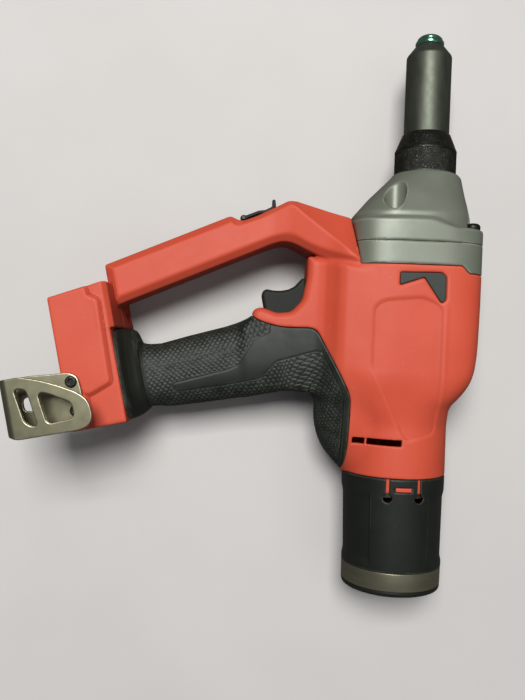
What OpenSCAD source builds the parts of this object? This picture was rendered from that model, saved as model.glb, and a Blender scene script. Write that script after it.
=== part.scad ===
// Battery rivet tool with a D-shaped handle, lying on its right side.
// The origin is on the spindle axis at the nosepiece's front face, +Y is forward along the spindle,
// -X is towards the handle and the foot, and +Z is the tool's left side. Lengths are in millimetres.

/* [Overall] */
// Half of the width across the body and the foot
body_half_w = 39; // [37:0.5:42]
// Lean of the handle in degrees
rake = 12.5; // [11.5:0.5:13.5]
// Thickness of the housing's wall
wall = 2.6; // [2.2:0.1:3]
// Thickness of the soft grip
skin = 2.4; // [1.8:0.1:2.8]

/* [Nose] */
// Radius of the hole that the rivet's mandrel goes through
mandrel_r = 2.1; // [1.3:0.1:2.3]
// Radius of the nosepiece's head
nosepiece_r = 8.6; // [7.5:0.1:9]
// Length of the nosepiece in front of the casing
nosepiece_len = 5; // [4:0.5:8]
// Radius of the nose casing
casing_r = 14.9; // [14.7:0.1:15.6]
// Length of the casing in front of the collar
casing_len = 61; // [58:1:66]
// Largest radius of the knurled collar
collar_r = 20.5; // [19:0.5:21]
// Length of the collar
collar_len = 28; // [26:1:30]

/* [Gearcase] */
// Length of the gearcase's cone
cone_len = 34; // [33:1:37]
// Length of the flange behind the cone
flange_len = 14.5; // [14:0.5:17]
// Length of the rear gearcase's band
band_len = 14.5; // [13:0.5:16]

/* [Body] */
// Height of the body above the spindle axis
body_top = 35; // [34.5:0.5:38]
// Depth of the body below the spindle axis
body_bottom = 50; // [48:0.5:52]
// Length of the red barrel
barrel_len = 134; // [130:1:140]
// Distance of the motor below the spindle
motor_drop = 42; // [40.5:0.5:43]

/* [Handle] */
// Distance of the foot's underside below the spindle
foot_drop = 229; // [226:1:233]
// Distance of the foot's middle behind the nose
foot_back = 228; // [226:1:230]
// Length of the foot from front to rear
foot_len = 86; // [82:1:90]
// Height of the foot
foot_h = 34.5; // [33:0.5:36]
// Depth of the grip from front to rear
grip_depth = 46; // [44:1:48]
// Half of the grip's width
grip_half_w = 18.5; // [17.5:0.5:20]
// How far the trigger moves
trigger_travel = 6; // [3:0.5:6.5]

/* [Strut] */
// Depth of the strut seen from the side
strut_depth = 29.3; // [27:0.5:31]
// Half of the strut's width
strut_half_w = 15.5; // [14:0.5:18]

/* [Container] */
// Radius of the container at its mouth
container_r = 34.2; // [33.5:0.1:35]
// Length of the container
container_len = 75; // [65:1:90]
// Offset of the container's axis from the spindle towards the handle
container_drop = 13.4; // [12:0.2:15]

/* [Drive] */
// How far the jaws pull back
stroke = 28; // [20:1:29]
// Module of the motor pinion and the intermediate gear
fine_module = 0.8; // [0.78:0.01:0.82]
// Module of the intermediate pinion and the nut's gear
coarse_module = 1.25; // [1.23:0.01:1.26]
// Radius of the pull screw
screw_r = 9; // [8.8:0.1:9.2]

/* [Belt hook] */
// Distance between the hook's screws
hook_pitch = 18; // [16:0.5:20]
// Thickness of the hook's sheet
hook_t = 2.4; // [1.8:0.1:3]
// Clear gap for the belt
hook_gap = 17; // [13:0.5:22]

/* [Hidden] */

$fn = 48;

// Clearances: turning and sliding fits, seats that only meet, and pieces that pass freely
run_fit = 0.05;
seat_fit = 0.02;
pass_fit = 0.3;
// Overrun of every cut past the face that it goes through
over = 1;
// A span larger than the tool
reach = 400;
// Number of points in the sections of the body, the handle and their insides
body_points = 32;
handle_points = 24;
inner_points = 24;
room_points = 16;

// Stations along the spindle, from the nose rearward
y_casing = -nosepiece_len;
y_collar = y_casing - casing_len;
y_case = y_collar - collar_len;
y_flange = y_case - cone_len;
y_seam = y_flange - flange_len;
y_body = y_seam - band_len;
y_tail = y_body - barrel_len;
y_end = y_tail - container_len;

// Stations of the drive
casing_seat = 7;
neck_len = 8;
thrust_len = 9;
bearing_len = 9;
gear_len = 10;
gear_lead = 4.5;
cavity_back = 9.5;
lip_len = 2;
y_neck = y_case - casing_seat;
y_thrust = y_neck - neck_len;
y_nut = y_thrust - thrust_len;
y_cavity = y_nut - bearing_len;
y_gear = y_seam + gear_lead;
y_wall = y_seam - cavity_back;
y_rear = y_wall - bearing_len - lip_len;
stage_gap = 9;
stage_len = 9;
plate_gap = 4;
plate_t = 8;
y_stage = y_rear - stage_gap;
y_plate = y_stage - stage_len - plate_gap;
y_motor = y_plate - plate_t;

// Gear train: motor pinion, intermediate gear, intermediate pinion and the nut's gear
pinion_teeth = 10;
idler_teeth = 30;
idler_pinion_teeth = 10;
nut_teeth = 36;
pressure = 28;
fine_reach = fine_module * (pinion_teeth + idler_teeth) / 2;
coarse_reach = coarse_module * (idler_pinion_teeth + nut_teeth) / 2;
idler_x = -(motor_drop * motor_drop + coarse_reach * coarse_reach - fine_reach * fine_reach)
    / (2 * motor_drop);
idler_z = sqrt(max(0, coarse_reach * coarse_reach - idler_x * idler_x));
// Angles that set the teeth in mesh at rest
idler_from_nut = atan2(idler_z, idler_x);
motor_from_idler = atan2(-idler_z, -motor_drop - idler_x);

function clamp01(t) = min(1, max(0, t));
function ease(t) = let (u = clamp01(t)) u * u * (3 - 2 * u);
function mix(a, b, t) = a + (b - a) * t;
// A ring of points on a rounded section: a power of 2 gives an ellipse, a higher one a fuller shape
function round_of(v, power) = sign(v) * pow(abs(v), 2 / power);
function section(low, high, half, power, count) = [for (i = [0 : count - 1])
    let (turn = 360 * i / count)
    [(low + high) / 2 + (high - low) / 2 * round_of(cos(turn), power), half * round_of(sin(turn), power)]];

// Carries children rearward: their own Z axis points back along the spindle
module rearward(x, y, z) {
    translate([x, y, z]) rotate([90, 0, 0]) children();
}

// Carries children into the handle's frame: X up the handle, Y forward, origin under the foot
module at_foot() {
    translate([-foot_drop, -foot_back, 0]) rotate([0, 0, rake]) children();
}

// A tube whose axis points rearward from y
module tube(y, length, outer, inner, x = 0, z = 0) {
    rearward(x, y, z) difference() {
        cylinder(h = length, r = outer);
        translate([0, 0, -over]) cylinder(h = length + 2 * over, r = inner);
    }
}

// A plain round bar whose axis points rearward from y
module bar(y, length, radius, x = 0, z = 0, sides = $fn) {
    rearward(x, y, z) cylinder(h = length, r = radius, $fn = sides);
}

// Joins convex rings of points, one after another
module chain(rings) {
    for (i = [0 : len(rings) - 2]) {
        both = concat(rings[i], rings[i + 1]);
        hull() polyhedron(points = both, faces = [[for (k = [0 : len(both) - 1]) k]]);
    }
}

// Joins rings of points into one faceted solid with flat ends
module loft(rings) {
    n = len(rings[0]);
    last = len(rings) - 1;
    sides = [for (j = [0 : last - 1], i = [0 : n - 1], half = [0, 1])
        let (a = j * n + i, b = j * n + (i + 1) % n)
        half == 0 ? [a, b, b + n] : [a, b + n, a + n]];
    front = [[for (i = [0 : n - 1]) n - 1 - i]];
    back = [[for (i = [0 : n - 1]) last * n + i]];
    polyhedron(points = [for (ring = rings) each ring], faces = concat(sides, front, back));
}

// Tooth outline of a gear: involute flanks, a short tip and a deep root, with room to run
tip_share = 0.85;
root_share = 1.15;
slack_share = 0.06;
flank_steps = 3;
function involute(base, t) = base * sqrt(1 + t * t);
function involute_turn(t) = t * 180 / PI - atan(t);
module gear_outline(teeth, mod, turn) {
    pitch = mod * teeth / 2;
    base = pitch * cos(pressure);
    tip = pitch + tip_share * mod;
    root = pitch - root_share * mod;
    tip_t = sqrt(max(0, tip * tip / (base * base) - 1));
    half = 90 / teeth - slack_share * mod / pitch * 180 / PI + involute_turn(tan(pressure));
    flank = [for (k = [0 : flank_steps])
        let (t = tip_t * k / flank_steps) [involute(base, t), half - involute_turn(t)]];
    up = [for (k = [0 : flank_steps]) [flank[k][0], -flank[k][1]]];
    down = [for (k = [0 : flank_steps]) flank[flank_steps - k]];
    tooth = concat([[root, -half]], up, down, [[root, half]]);
    polygon([for (i = [0 : teeth - 1], p = tooth)
        let (a = turn + 360 * i / teeth + p[1]) [p[0] * cos(a), p[0] * sin(a)]]);
}

// A ball bearing: two rings and the balls between them
race_share = 0.3;
bearing_balls = 8;
module bearing(y, length, outer, inner, x, z) {
    race = (outer - inner) * race_share;
    ball = (outer - inner) * (1 - 2 * race_share) / 2 - seat_fit;
    tube(y, length, outer, outer - race, x, z);
    tube(y, length, inner + race, inner, x, z);
    for (i = [0 : bearing_balls - 1])
        rearward(x, y - length / 2, z) rotate([0, 0, 360 * i / bearing_balls])
            translate([(outer + inner) / 2, 0, 0]) sphere(r = ball);
}

// Barrel: rounded sections that step in at the shoulder and end round behind the motor
tail_r = container_r;
tail_top = tail_r - container_drop;
tail_bottom = -tail_r - container_drop;
front_power = 4.2;
shoulder_share = 0.358;
shoulder_end_share = 0.675;
shoulder_curve = 0.8;
taper_share = 0.58;
taper_end_share = 0.92;
barrel_shares = [0, 0.358, 0.44, 0.51, 0.57, 0.62, 0.655, 0.675, 0.73, 0.79, 0.86, 0.92, 1];
inner_shares = [0, 0.358, 0.48, 0.58, 0.64, 0.675, 0.75, 0.86, 0.92, 1];
function shoulder(s) = let (t = clamp01((s - shoulder_share) / (shoulder_end_share - shoulder_share)))
    pow(1 - t * t, shoulder_curve);
function barrel_section(s, inset) = let (t = ease((s - taper_share) / (taper_end_share - taper_share)))
    section(mix(-body_bottom, tail_bottom, t) + inset,
        mix(tail_top, body_top, shoulder(s)) - inset,
        mix(body_half_w, tail_r, t) - inset,
        mix(front_power, 2, t), inset > 0 ? inner_points : body_points);
function barrel_ring(s, inset) = [for (p = barrel_section(s, inset)) [p[0], y_body - s * barrel_len, p[1]]];
module barrel_form(inset) {
    chain([for (s = inset > 0 ? inner_shares : barrel_shares) barrel_ring(s, inset)]);
}

// Neck between the barrel and the grip, with the guard behind the trigger, as shares of its box
neck_top = 44;
neck_drop = 75;
neck_front = 148;
neck_back = 96;
neck_half_w = 24.5;
neck_low_half_w = 18.6;
neck_edge = 4;
neck_shares = [[0.44, 0], [0.44, 0.19], [0.476, 0.344], [0.567, 0.422], [0.688, 0.432], [0.824, 0.395],
    [0.889, 0.412], [0.911, 0.469], [1, 0.531], [0.96, 1], [0.617, 0.953], [0.347, 0.969], [0, 0.969], [0, 0]];
function neck_point(p) = [-neck_top - p[0] * neck_drop, -neck_front - p[1] * neck_back];
module neck_core(inset) {
    wide = neck_half_w - inset;
    narrow = neck_low_half_w - inset;
    low = -neck_top - neck_drop;
    intersection() {
        translate([0, 0, -wide]) linear_extrude(height = 2 * wide)
            offset(delta = -inset) polygon([for (p = neck_shares) neck_point(p)]);
        rotate([90, 0, 0]) linear_extrude(height = reach)
            polygon([[-neck_top, wide], [low, narrow], [low, -narrow], [-neck_top, -wide]]);
    }
}
module neck_form(inset) {
    if (inset > skin) neck_core(inset);
    else minkowski() {
        neck_core(inset + neck_edge);
        sphere(r = neck_edge, $fn = 8);
    }
}

// Grip: sections up the handle, each with its height, front, rear and half width as shares
grip_len = 105;
grip_sink = 1;
grip_power = 2.5;
grip_shares = [[0, 0.37, -0.913, 1.42], [0.03, 0.37, -0.92, 1.4], [0.09, 0.345, -0.85, 1.2],
    [0.115, 0.155, -0.80, 1.05], [0.155, 0.1, -0.815, 1], [0.25, 0.072, -0.858, 0.97],
    [0.44, 0.11, -0.887, 0.97], [0.67, 0.145, -0.908, 1], [0.85, 0.2, -0.902, 1.03], [1, 0.25, -0.9, 1.05]];
function grip_ring(p, inset) = [for (q = section(p[2] * grip_depth + inset, p[1] * grip_depth - inset,
        p[3] * grip_half_w - inset, grip_power, inset > skin ? room_points : handle_points))
    [foot_h - grip_sink + p[0] * grip_len, q[0], q[1]]];
module grip_form(inset) {
    at_foot() chain([for (p = grip_shares) grip_ring(p, inset)]);
}

// Bell round the motor: distance behind the start and radius, as shares
bell_front = 182;
bell_lead = 2;
bell_len = -y_tail - bell_front - bell_lead;
bell_r = 26.4;
bell_shares = [[0, 1], [0.66, 1], [0.77, 0.963], [0.823, 0.9], [0.88, 0.777], [0.94, 0.553], [0.985, 0.28]];
module bell_form(inset) {
    rearward(-motor_drop, -bell_front, 0) rotate_extrude($fn = inset > skin ? 20 : 32) polygon(concat([[0, 0]],
        [for (p = bell_shares) [max(inset, p[1] * bell_r) - inset, p[0] * (bell_len - inset)]],
        [[0, bell_shares[len(bell_shares) - 1][0] * (bell_len - inset)]]));
}

// Foot: rounded boxes one above another, a little narrower than its raised side panels
foot_shares = [[0, 0.48, -0.486, 0.97], [0.05, 0.492, -0.493, 1],
    [0.95, 0.54, -0.49, 1], [1, 0.53, -0.478, 0.97]];
foot_corner = 4;
foot_corner_steps = 3;
function corner_ring(low, high, half, radius, at) = [for (q = [0 : 3], k = [0 : foot_corner_steps])
    let (turn = 90 * (q + k / foot_corner_steps),
        cy = q == 0 || q == 3 ? high - radius : low + radius,
        cz = q < 2 ? half - radius : radius - half)
    [at, cy + radius * cos(turn), cz + radius * sin(turn)]];
function foot_ring(p) = corner_ring(p[2] * foot_len, p[1] * foot_len, p[3] * (body_half_w - panel_t),
    foot_corner, p[0] * foot_h);
module foot_form() {
    at_foot() chain([for (p = foot_shares) foot_ring(p)]);
}

// Strut: bevelled bars from the foot to the gearcase, in a frame along the strut
strut_low = 204;
strut_back = 174.2;
strut_lean = 23.85;
strut_len = 127;
strut_bevel = 6;
notch_at = 92;
notch_depth = 6;
root_start = 116;
root_half_w = 31;
root_t = 3;
case_end_front = 49;
case_end_back = 42.3;
root_lead = 4;
module at_strut() {
    translate([-strut_low, -strut_back, 0]) rotate([0, 0, strut_lean]) children();
}
module strut_bar(from, to, front) {
    low = -strut_depth / 2;
    hull() {
        translate([from, low, strut_bevel - strut_half_w])
            cube([to - from, front - low, 2 * (strut_half_w - strut_bevel)]);
        translate([from + strut_bevel / 2, low + strut_bevel, -strut_half_w])
            cube([to - from - strut_bevel / 2, front - low - 2 * strut_bevel, 2 * strut_half_w]);
    }
}
heel_drop = 207;
heel_back = 187;
heel_w = 22;
heel_d = 16;
module strut_form() {
    at_strut() strut_bar(0, notch_at, strut_depth / 2);
    at_strut() strut_bar(notch_at - strut_bevel, strut_len, strut_depth / 2 - notch_depth);
    hull() {
        at_strut() strut_bar(root_start, strut_len, strut_depth / 2 - notch_depth);
        translate([0, 0, -root_half_w]) linear_extrude(height = 2 * root_half_w)
            polygon([[-case_end_front, y_flange + root_lead], [-case_end_back, y_body],
                [-case_end_back - root_t, y_body], [-case_end_front - root_t, y_flange + root_lead]]);
    }
    hull() {
        at_strut() strut_bar(0, heel_w, strut_depth / 2);
        translate([-heel_drop, -heel_back, -strut_half_w]) cube([heel_w, heel_d, 2 * strut_half_w]);
    }
}

// Line where the grey gearcase ends against the strut's root, and the stepped line behind it
step_low = 17.6;
step_high = 22.4;
step_back = 4.5;
module case_side(gap) {
    translate([0, 0, -reach]) linear_extrude(height = 2 * reach) polygon([
        [gap - case_end_front, reach], [gap - case_end_front, y_flange + root_lead], [gap - case_end_back, y_body],
        [gap - case_end_back, y_body + gap], [step_low - gap, y_body + gap],
        [step_high - gap, y_body - step_back + gap], [reach, y_body - step_back + gap], [reach, reach]]);
}

// Outline of the soft grip seen from the side, as shares of the neck's box
seam_shares = [[0.987, 0.375], [0.88, 0.474], [0.747, 0.51], [0.62, 0.527], [0.347, 0.524], [0.04, 0.969],
    [0.044, 1.6], [2.9, 1.6], [2.9, 0.375]];
module grip_region(inset) {
    intersection() {
        translate([0, 0, -reach / 2]) linear_extrude(height = reach) offset(delta = -inset)
            polygon([for (p = seam_shares) neck_point(p)]);
        at_foot() translate([foot_h - grip_sink / 2 + inset, -reach / 2, -reach / 2]) cube(reach);
    }
}
module handle_form(inset) {
    neck_form(inset);
    grip_form(inset);
    bell_form(inset);
}

// Trigger outline in the handle's frame: a block with a hollow for the finger
trigger_low = 130.8;
trigger_h = 31;
trigger_tail = 3;
trigger_front = 29;
trigger_half_w = 8.5;
trigger_edge = 1.6;
scoop_at = 146.6;
scoop_forward = 48.3;
scoop_r = 25;
plunger_r = 2.5;
plunger_len = 12;
plunger_at = 138;
module trigger_outline(grow) {
    offset(r = grow + trigger_edge) offset(delta = -trigger_edge) difference() {
        translate([trigger_low, trigger_tail]) square([trigger_h, trigger_front - trigger_tail]);
        translate([scoop_at, scoop_forward]) circle(r = scoop_r);
    }
}
module trigger_room() {
    at_foot() translate([0, 0, -trigger_half_w - pass_fit])
        linear_extrude(height = 2 * (trigger_half_w + pass_fit))
        translate([trigger_low - pass_fit, trigger_tail - trigger_travel - pass_fit])
        square([trigger_h + 2 * pass_fit, trigger_front - trigger_tail + trigger_travel + 2 * pass_fit]);
}

// Switch behind the trigger
switch_low = 126;
switch_h = 24;
switch_depth = 22;
switch_half_w = 10;
switch_gap = 1.2;
switch_back = trigger_tail - trigger_travel - switch_gap;
module switch_room(grow) {
    at_foot() translate([switch_low - grow, switch_back - switch_depth - grow, -switch_half_w - grow])
        cube([switch_h + 2 * grow, switch_depth + 2 * grow, 2 * (switch_half_w + grow)]);
}

// Shelves in the handle under and over the switch
shelf_t = 3;
module switch_shelves() {
    intersection() {
        handle_form(skin + wall / 2);
        at_foot() for (h = [switch_low - seat_fit - shelf_t, switch_low + switch_h + seat_fit])
            translate([h, switch_back - switch_depth, -reach / 2]) cube([shelf_t, switch_depth, reach]);
    }
}

// Battery channel under the foot, its lips, and the room above it for the board
channel_h = 12;
channel_half_w = 30.5;
channel_back = 36;
lip_w = 4.5;
lip_h = 3.5;
roof_t = 2.5;
board_room_h = 13;
board_half_w = 29;
board_front = 30;
board_back = 30;
wire_back = 30;
wire_depth = 26;
wire_half_w = 11;
wire_rise = 10;
pocket_back = 26;
pocket_depth = 14;
pocket_half_w = 12;
module foot_room() {
    at_foot() {
        translate([-over, -channel_back, -channel_half_w + lip_w])
            cube([lip_h + 2 * over, reach, 2 * (channel_half_w - lip_w)]);
        translate([lip_h, -channel_back, -channel_half_w])
            cube([channel_h - lip_h, reach, 2 * channel_half_w]);
        translate([channel_h + roof_t, -board_back - pass_fit, -board_half_w - pass_fit])
            cube([board_room_h, board_back + board_front + 2 * pass_fit, 2 * (board_half_w + pass_fit)]);
        translate([channel_h + roof_t, -wire_back, -wire_half_w])
            cube([foot_h + wire_rise - channel_h, wire_depth, 2 * wire_half_w]);
        translate([channel_h - over, -pocket_back, -pocket_half_w])
            cube([roof_t + 2 * over, pocket_depth, 2 * pocket_half_w]);
    }
}

// Posts and screws that close the housing: place and depth of each screw's seat, as shares
post_r = 5.5;
post_hole_r = 2;
head_r = 3.6;
head_len = 3;
head_room_r = 4.1;
screw_len = 24;
seat_depth = 14;
function foot_spot(h, f) = [-foot_drop + h * cos(rake) - f * sin(rake),
    -foot_back + h * sin(rake) + f * cos(rake)];
function strut_spot(along, across) = [-strut_low + along * cos(strut_lean) - across * sin(strut_lean),
    -strut_back + along * sin(strut_lean) + across * cos(strut_lean)];
function barrel_spot(x_share, y_share) = [x_share * body_top, y_body - y_share * barrel_len];
// Each screw's place, and its seat's depth as a share of seat_depth
post_places = [[barrel_spot(0.754, 0.12), 1], [barrel_spot(0.641, 0.475), 1], [barrel_spot(0.279, 0.863), 1],
    [neck_point([0.305, 0.243]), 1],
    [strut_spot(0.957 * strut_len, -0.195 * strut_depth), 0.8],
    [strut_spot(0.448 * strut_len, 0.007 * strut_depth), 0.8],
    [foot_spot(0.684 * foot_h, 0.428 * foot_len), 1], [foot_spot(0.704 * foot_h, -0.424 * foot_len), 1],
    [foot_spot(foot_h + 0.569 * grip_len, -0.428 * grip_depth), 0.72],
    [[-motor_drop - 0.152 * bell_r, -bell_front - 0.909 * bell_len], 0.85]];
module posts() {
    for (p = post_places) translate([p[0][0], p[0][1], -reach / 2])
        cylinder(h = reach, r = post_r, $fn = 16);
}
module post_cuts() {
    for (p = post_places) translate([p[0][0], p[0][1], 0]) {
        translate([0, 0, -seat_depth * p[1] - over])
            cylinder(h = screw_len + over + pass_fit, r = post_hole_r + run_fit, $fn = 14);
        translate([0, 0, -reach - seat_depth * p[1]]) cylinder(h = reach, r = head_room_r, $fn = 16);
    }
}

// Ribs across the barrel that hold the motor and the mandrel tube
rib_t = 3;
rib_drop = 72;
stator_front = 10;
stator_len_share = 0.2388;
stator_len = stator_len_share * barrel_len;
stator_r = 20.5;
winding_len = 5;
winding_r = 18;
rear_bearing_r = 8;
rear_bearing_len = 6;
rear_bearing_share = 0.4925;
rear_bearing_at = rear_bearing_share * barrel_len;
tube_r = 4.4;
tube_bore_r = 3.6;
sleeve_r = 15.2;
sleeve_bore_r = 12.4;
sleeve_len = 43;
rib_places = [seat_fit, stator_front + rib_t, stator_front + stator_len - 2 * rib_t, rear_bearing_at];
module rib(place) {
    intersection() {
        translate([-rib_drop, y_motor - place - rib_t, -reach / 2])
            cube([rib_drop + body_top, rib_t, reach]);
        union() {
            barrel_form(wall / 2);
            bell_form(skin + wall / 2);
        }
    }
}
module ribs() {
    difference() {
        for (place = rib_places) rib(place);
        bar(y_motor + over, stator_front + over, winding_r + pass_fit, -motor_drop, 0, 32);
        bar(y_motor - stator_front + over, stator_len + winding_len + over, stator_r + run_fit, -motor_drop);
        bar(y_motor - rear_bearing_at + over, rib_t + 2 * over, rear_bearing_r + run_fit, -motor_drop, 0, 32);
        bar(y_motor + over, sleeve_len, sleeve_r + pass_fit, 0, 0, 32);
        bar(y_motor, reach, tube_r + run_fit, 0, 0, 24);
    }
}

// Spigot that carries the container, and the wall in front of it
spigot_len = 14;
spigot_wall = 2.4;
tail_wall = 4;
container_wall = 2.6;
spigot_r = container_r - container_wall - pass_fit;
seal_at = 10;
seal_len = 2;
seal_depth = 1.2;
module spigot() {
    tube(y_tail + over, spigot_len + over, spigot_r, spigot_r - spigot_wall, -container_drop);
}

// Slot on each side over the fan, with one rib set back in it
vent_w = 30.5;
vent_h = 4;
vent_low = 45.2;
vent_lead = 24.3;
vent_back = -y_tail - vent_lead;
vent_rib = 1.2;
vent_rib_at = 8.4;
vent_rib_set = 1.6;
vent_start = 22;
module vents() {
    for (side = [-1, 1]) translate([-vent_low, -vent_back - vent_h, side < 0 ? -reach : vent_start])
        difference() {
            cube([vent_w, vent_h, reach - (side < 0 ? vent_start : 0)]);
            translate([vent_rib_at, -over, side < 0 ? reach - body_half_w : 0])
                cube([vent_rib, vent_h + 2 * over, body_half_w - vent_start - vent_rib_set - tail_wall]);
        }
}

// Dark vent insert on each side of the barrel, as shares of its box
insert_low = 20.7;
insert_w = 28.9;
insert_h = 19.2;
insert_lead = 4.6;
insert_t = 2;
insert_set = 0.35;
insert_shares = [[0, 0.03], [0.9, 0], [1, 0.14], [1, 0.9], [0.9, 1], [0.52, 0.18], [0, 0.46]];
module insert_outline(grow) {
    offset(delta = grow) polygon([for (p = insert_shares)
        [p[0] * insert_w - insert_low, y_body - insert_lead - p[1] * insert_h]]);
}
module insert_plate(side) {
    translate([0, 0, side < 0 ? -body_half_w + insert_set : body_half_w - insert_set - insert_t])
        linear_extrude(height = insert_t) insert_outline(0);
}
module insert_rooms() {
    for (side = [-1, 1])
        translate([0, 0, side < 0 ? -body_half_w - over : body_half_w - insert_set - insert_t - seat_fit])
            linear_extrude(height = insert_t + insert_set + over + seat_fit) insert_outline(run_fit);
}

// Shallow bare panel on each side of the barrel, as shares of its box
side_panel_depth = 0.8;
side_panel_low = 36;
side_panel_w = 42.5;
side_panel_lead = 19.8;
side_panel_tail = 23.5;
side_panel_len = barrel_len - side_panel_lead - side_panel_tail;
side_panel_shares = [[0, 0.08], [0.14, 0.03], [0.7, 0], [1, 0.06], [1, 0.94], [0.55, 1], [0.48, 0.95], [0, 0.49]];
module side_panels() {
    for (side = [0, 1]) mirror([0, 0, side]) difference() {
        linear_extrude(height = body_half_w + over) polygon([for (p = side_panel_shares)
            [p[0] * side_panel_w - side_panel_low, y_body - side_panel_lead - p[1] * side_panel_len]]);
        barrel_form(side_panel_depth);
    }
}

// Oval slot for a tether in the foot's top, beside the strut
tether_w = 3;
tether_len = 8;
tether_depth = 2;
tether_at = 26;
tether_side = 25;
module tether_slot() {
    at_foot() translate([foot_h - tether_depth, tether_at, -tether_side]) rotate([0, 90, 0]) hull()
        for (f = [-1, 1]) translate([0, f * (tether_len - tether_w) / 2, 0])
            cylinder(h = tether_depth + over, r = tether_w / 2, $fn = 16);
}

// Raised panel on each side of the foot, in the handle's frame, as shares of the foot
panel_t = 1.6;
panel_edge = 1;
panel_shares = [[0.03, 0.474], [0.69, 0.51], [0.755, 0.45], [0.92, 0.4], [0.9, -0.185], [0.85, -0.2],
    [0.464, -0.25], [0.342, -0.223], [0.319, -0.133], [0.168, -0.078], [0.03, -0.078]];
pad_shares = [[0.02, -0.09], [0.14, -0.09], [0.28, -0.15], [0.3, -0.22], [0.36, -0.26], [0.36, -0.47],
    [0.02, -0.47]];
module foot_plates(shares) {
    for (side = [-1, 1]) mirror([0, 0, side > 0 ? 0 : 1]) hull() {
        linear_extrude(height = body_half_w - panel_edge)
            polygon([for (p = shares) [p[0] * foot_h, p[1] * foot_len]]);
        linear_extrude(height = body_half_w) offset(delta = -panel_edge)
            polygon([for (p = shares) [p[0] * foot_h, p[1] * foot_len]]);
    }
}
module foot_panels() {
    at_foot() {
        foot_plates(panel_shares);
        foot_plates(pad_shares);
    }
}

// Seats for the belt hook's inserts in both sides of the foot
insert_r = 3.2;
insert_depth = 6.5;
insert_rise = 6.4;
hook_middle = -20.5;
hook_screw_r = 2;
module hook_bores() {
    at_foot() for (side = [0, 1], f = [-1, 1]) mirror([0, 0, side])
        translate([insert_rise, hook_middle + f * hook_pitch / 2, channel_half_w - over])
            cylinder(h = body_half_w - channel_half_w + over, r = hook_screw_r + seat_fit, $fn = 24);
}
module hook_places(grow, depth, start) {
    at_foot() for (side = [-1, 1], f = [-1, 1])
        translate([insert_rise, hook_middle + f * hook_pitch / 2, side * start])
            mirror([0, 0, side > 0 ? 1 : 0]) cylinder(h = depth, r = insert_r + grow, $fn = 24);
}

// Store for a spare nosepiece in the strut's front, and the hinge of its clip
store_at = 97;
store_len = 21;
store_half_w = 5.5;
store_depth = 11;
clip_at = 96;
clip_len = 25;
clip_t = 2.4;
clip_half_w = 7;
clip_knuckle_r = 2.2;
clip_pin_r = 1;
clip_pin_half = 11;
clip_rise = 1.4;
front_v = strut_depth / 2 - notch_depth;
module store_room() {
    at_strut() {
        translate([store_at, front_v - store_depth, -store_half_w])
            cube([store_len, reach, 2 * store_half_w]);
        translate([clip_at - clip_knuckle_r - pass_fit, front_v - clip_t, -clip_half_w - pass_fit])
            cube([clip_len + clip_knuckle_r + 2 * pass_fit, reach, 2 * (clip_half_w + pass_fit)]);
        translate([clip_at, front_v + clip_rise - clip_t / 2 - pass_fit, 0])
            translate([0, 0, -clip_pin_half - run_fit])
            cylinder(h = 2 * (clip_pin_half + run_fit), r = clip_pin_r + seat_fit);
    }
}

// Both halves of the housing before they are parted
module housing_solid() {
    difference() {
        union() {
            difference() {
                union() {
                    difference() {
                        union() {
                            barrel_form(0);
                            handle_form(0);
                            foot_form();
                            foot_panels();
                            strut_form();
                        }
                        intersection() {
                            barrel_form(wall);
                            translate([-reach / 2, y_tail + tail_wall, -reach / 2]) cube(reach);
                        }
                        handle_form(skin + wall);
                    }
                    intersection() {
                        union() {
                            barrel_form(wall / 2);
                            handle_form(skin + wall / 2);
                        }
                        posts();
                    }
                    ribs();
                    switch_shelves();
                    spigot();
                }
                difference() {
                    intersection() {
                        handle_form(-over);
                        grip_region(0);
                    }
                    handle_form(skin);
                    barrel_form(0);
                }
                foot_room();
                case_side(0);
                trigger_room();
                switch_room(seat_fit);
            }
        }
        bar(y_tail + tail_wall + over, tail_wall + 2 * over, tube_r + run_fit, 0, 0, 24);
        vents();
        insert_rooms();
        side_panels();
        tether_slot();
        store_room();
        hook_places(run_fit, insert_depth + seat_fit + over, body_half_w + over);
        hook_bores();
        post_cuts();
        rearward(-container_drop, y_tail - seal_at, 0) difference() {
            cylinder(h = seal_len, r = spigot_r + over);
            translate([0, 0, -over]) cylinder(h = seal_len + 2 * over, r = spigot_r - seal_depth);
        }
    }
}
module housing_half(side) {
    color("firebrick") intersection() {
        housing_solid();
        translate([-reach, -reach, side < 0 ? -reach : 0]) cube([2 * reach, 2 * reach, reach]);
    }
}
module left_housing() {
    housing_half(1);
}
module right_housing() {
    housing_half(-1);
}

// Soft grip moulded over each half
module grip_half(side) {
    color("dimgray") intersection() {
        difference() {
            handle_form(0);
            handle_form(skin);
            barrel_form(0);
            post_cuts();
        }
        grip_region(seat_fit);
        translate([-reach, -reach, side < 0 ? -reach : 0]) cube([2 * reach, 2 * reach, reach]);
    }
}
module left_grip() {
    grip_half(1);
}
module right_grip() {
    grip_half(-1);
}

module housing_screws() {
    color("black") for (p = post_places) translate([p[0][0], p[0][1], -seat_depth * p[1]]) {
        cylinder(h = screw_len, r = post_hole_r);
        translate([0, 0, -head_len]) cylinder(h = head_len, r = head_r);
    }
}

module left_vent() {
    color("darkslategray") insert_plate(1);
}
module right_vent() {
    color("darkslategray") insert_plate(-1);
}

// Trigger: the finger piece and the plunger that works the switch
module trigger() {
    color("black") at_foot() {
        translate([0, 0, -trigger_half_w]) linear_extrude(height = 2 * trigger_half_w) trigger_outline(0);
        translate([plunger_at, trigger_tail + trigger_edge, 0]) rotate([90, 0, 0])
            cylinder(h = plunger_len + trigger_edge, r = plunger_r);
    }
}
module trigger_switch() {
    color("darkslategray") difference() {
        switch_room(0);
        at_foot() translate([plunger_at, trigger_tail + over, 0]) rotate([90, 0, 0])
            cylinder(h = plunger_len + trigger_travel + 2 * over, r = plunger_r + run_fit);
    }
}

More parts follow.
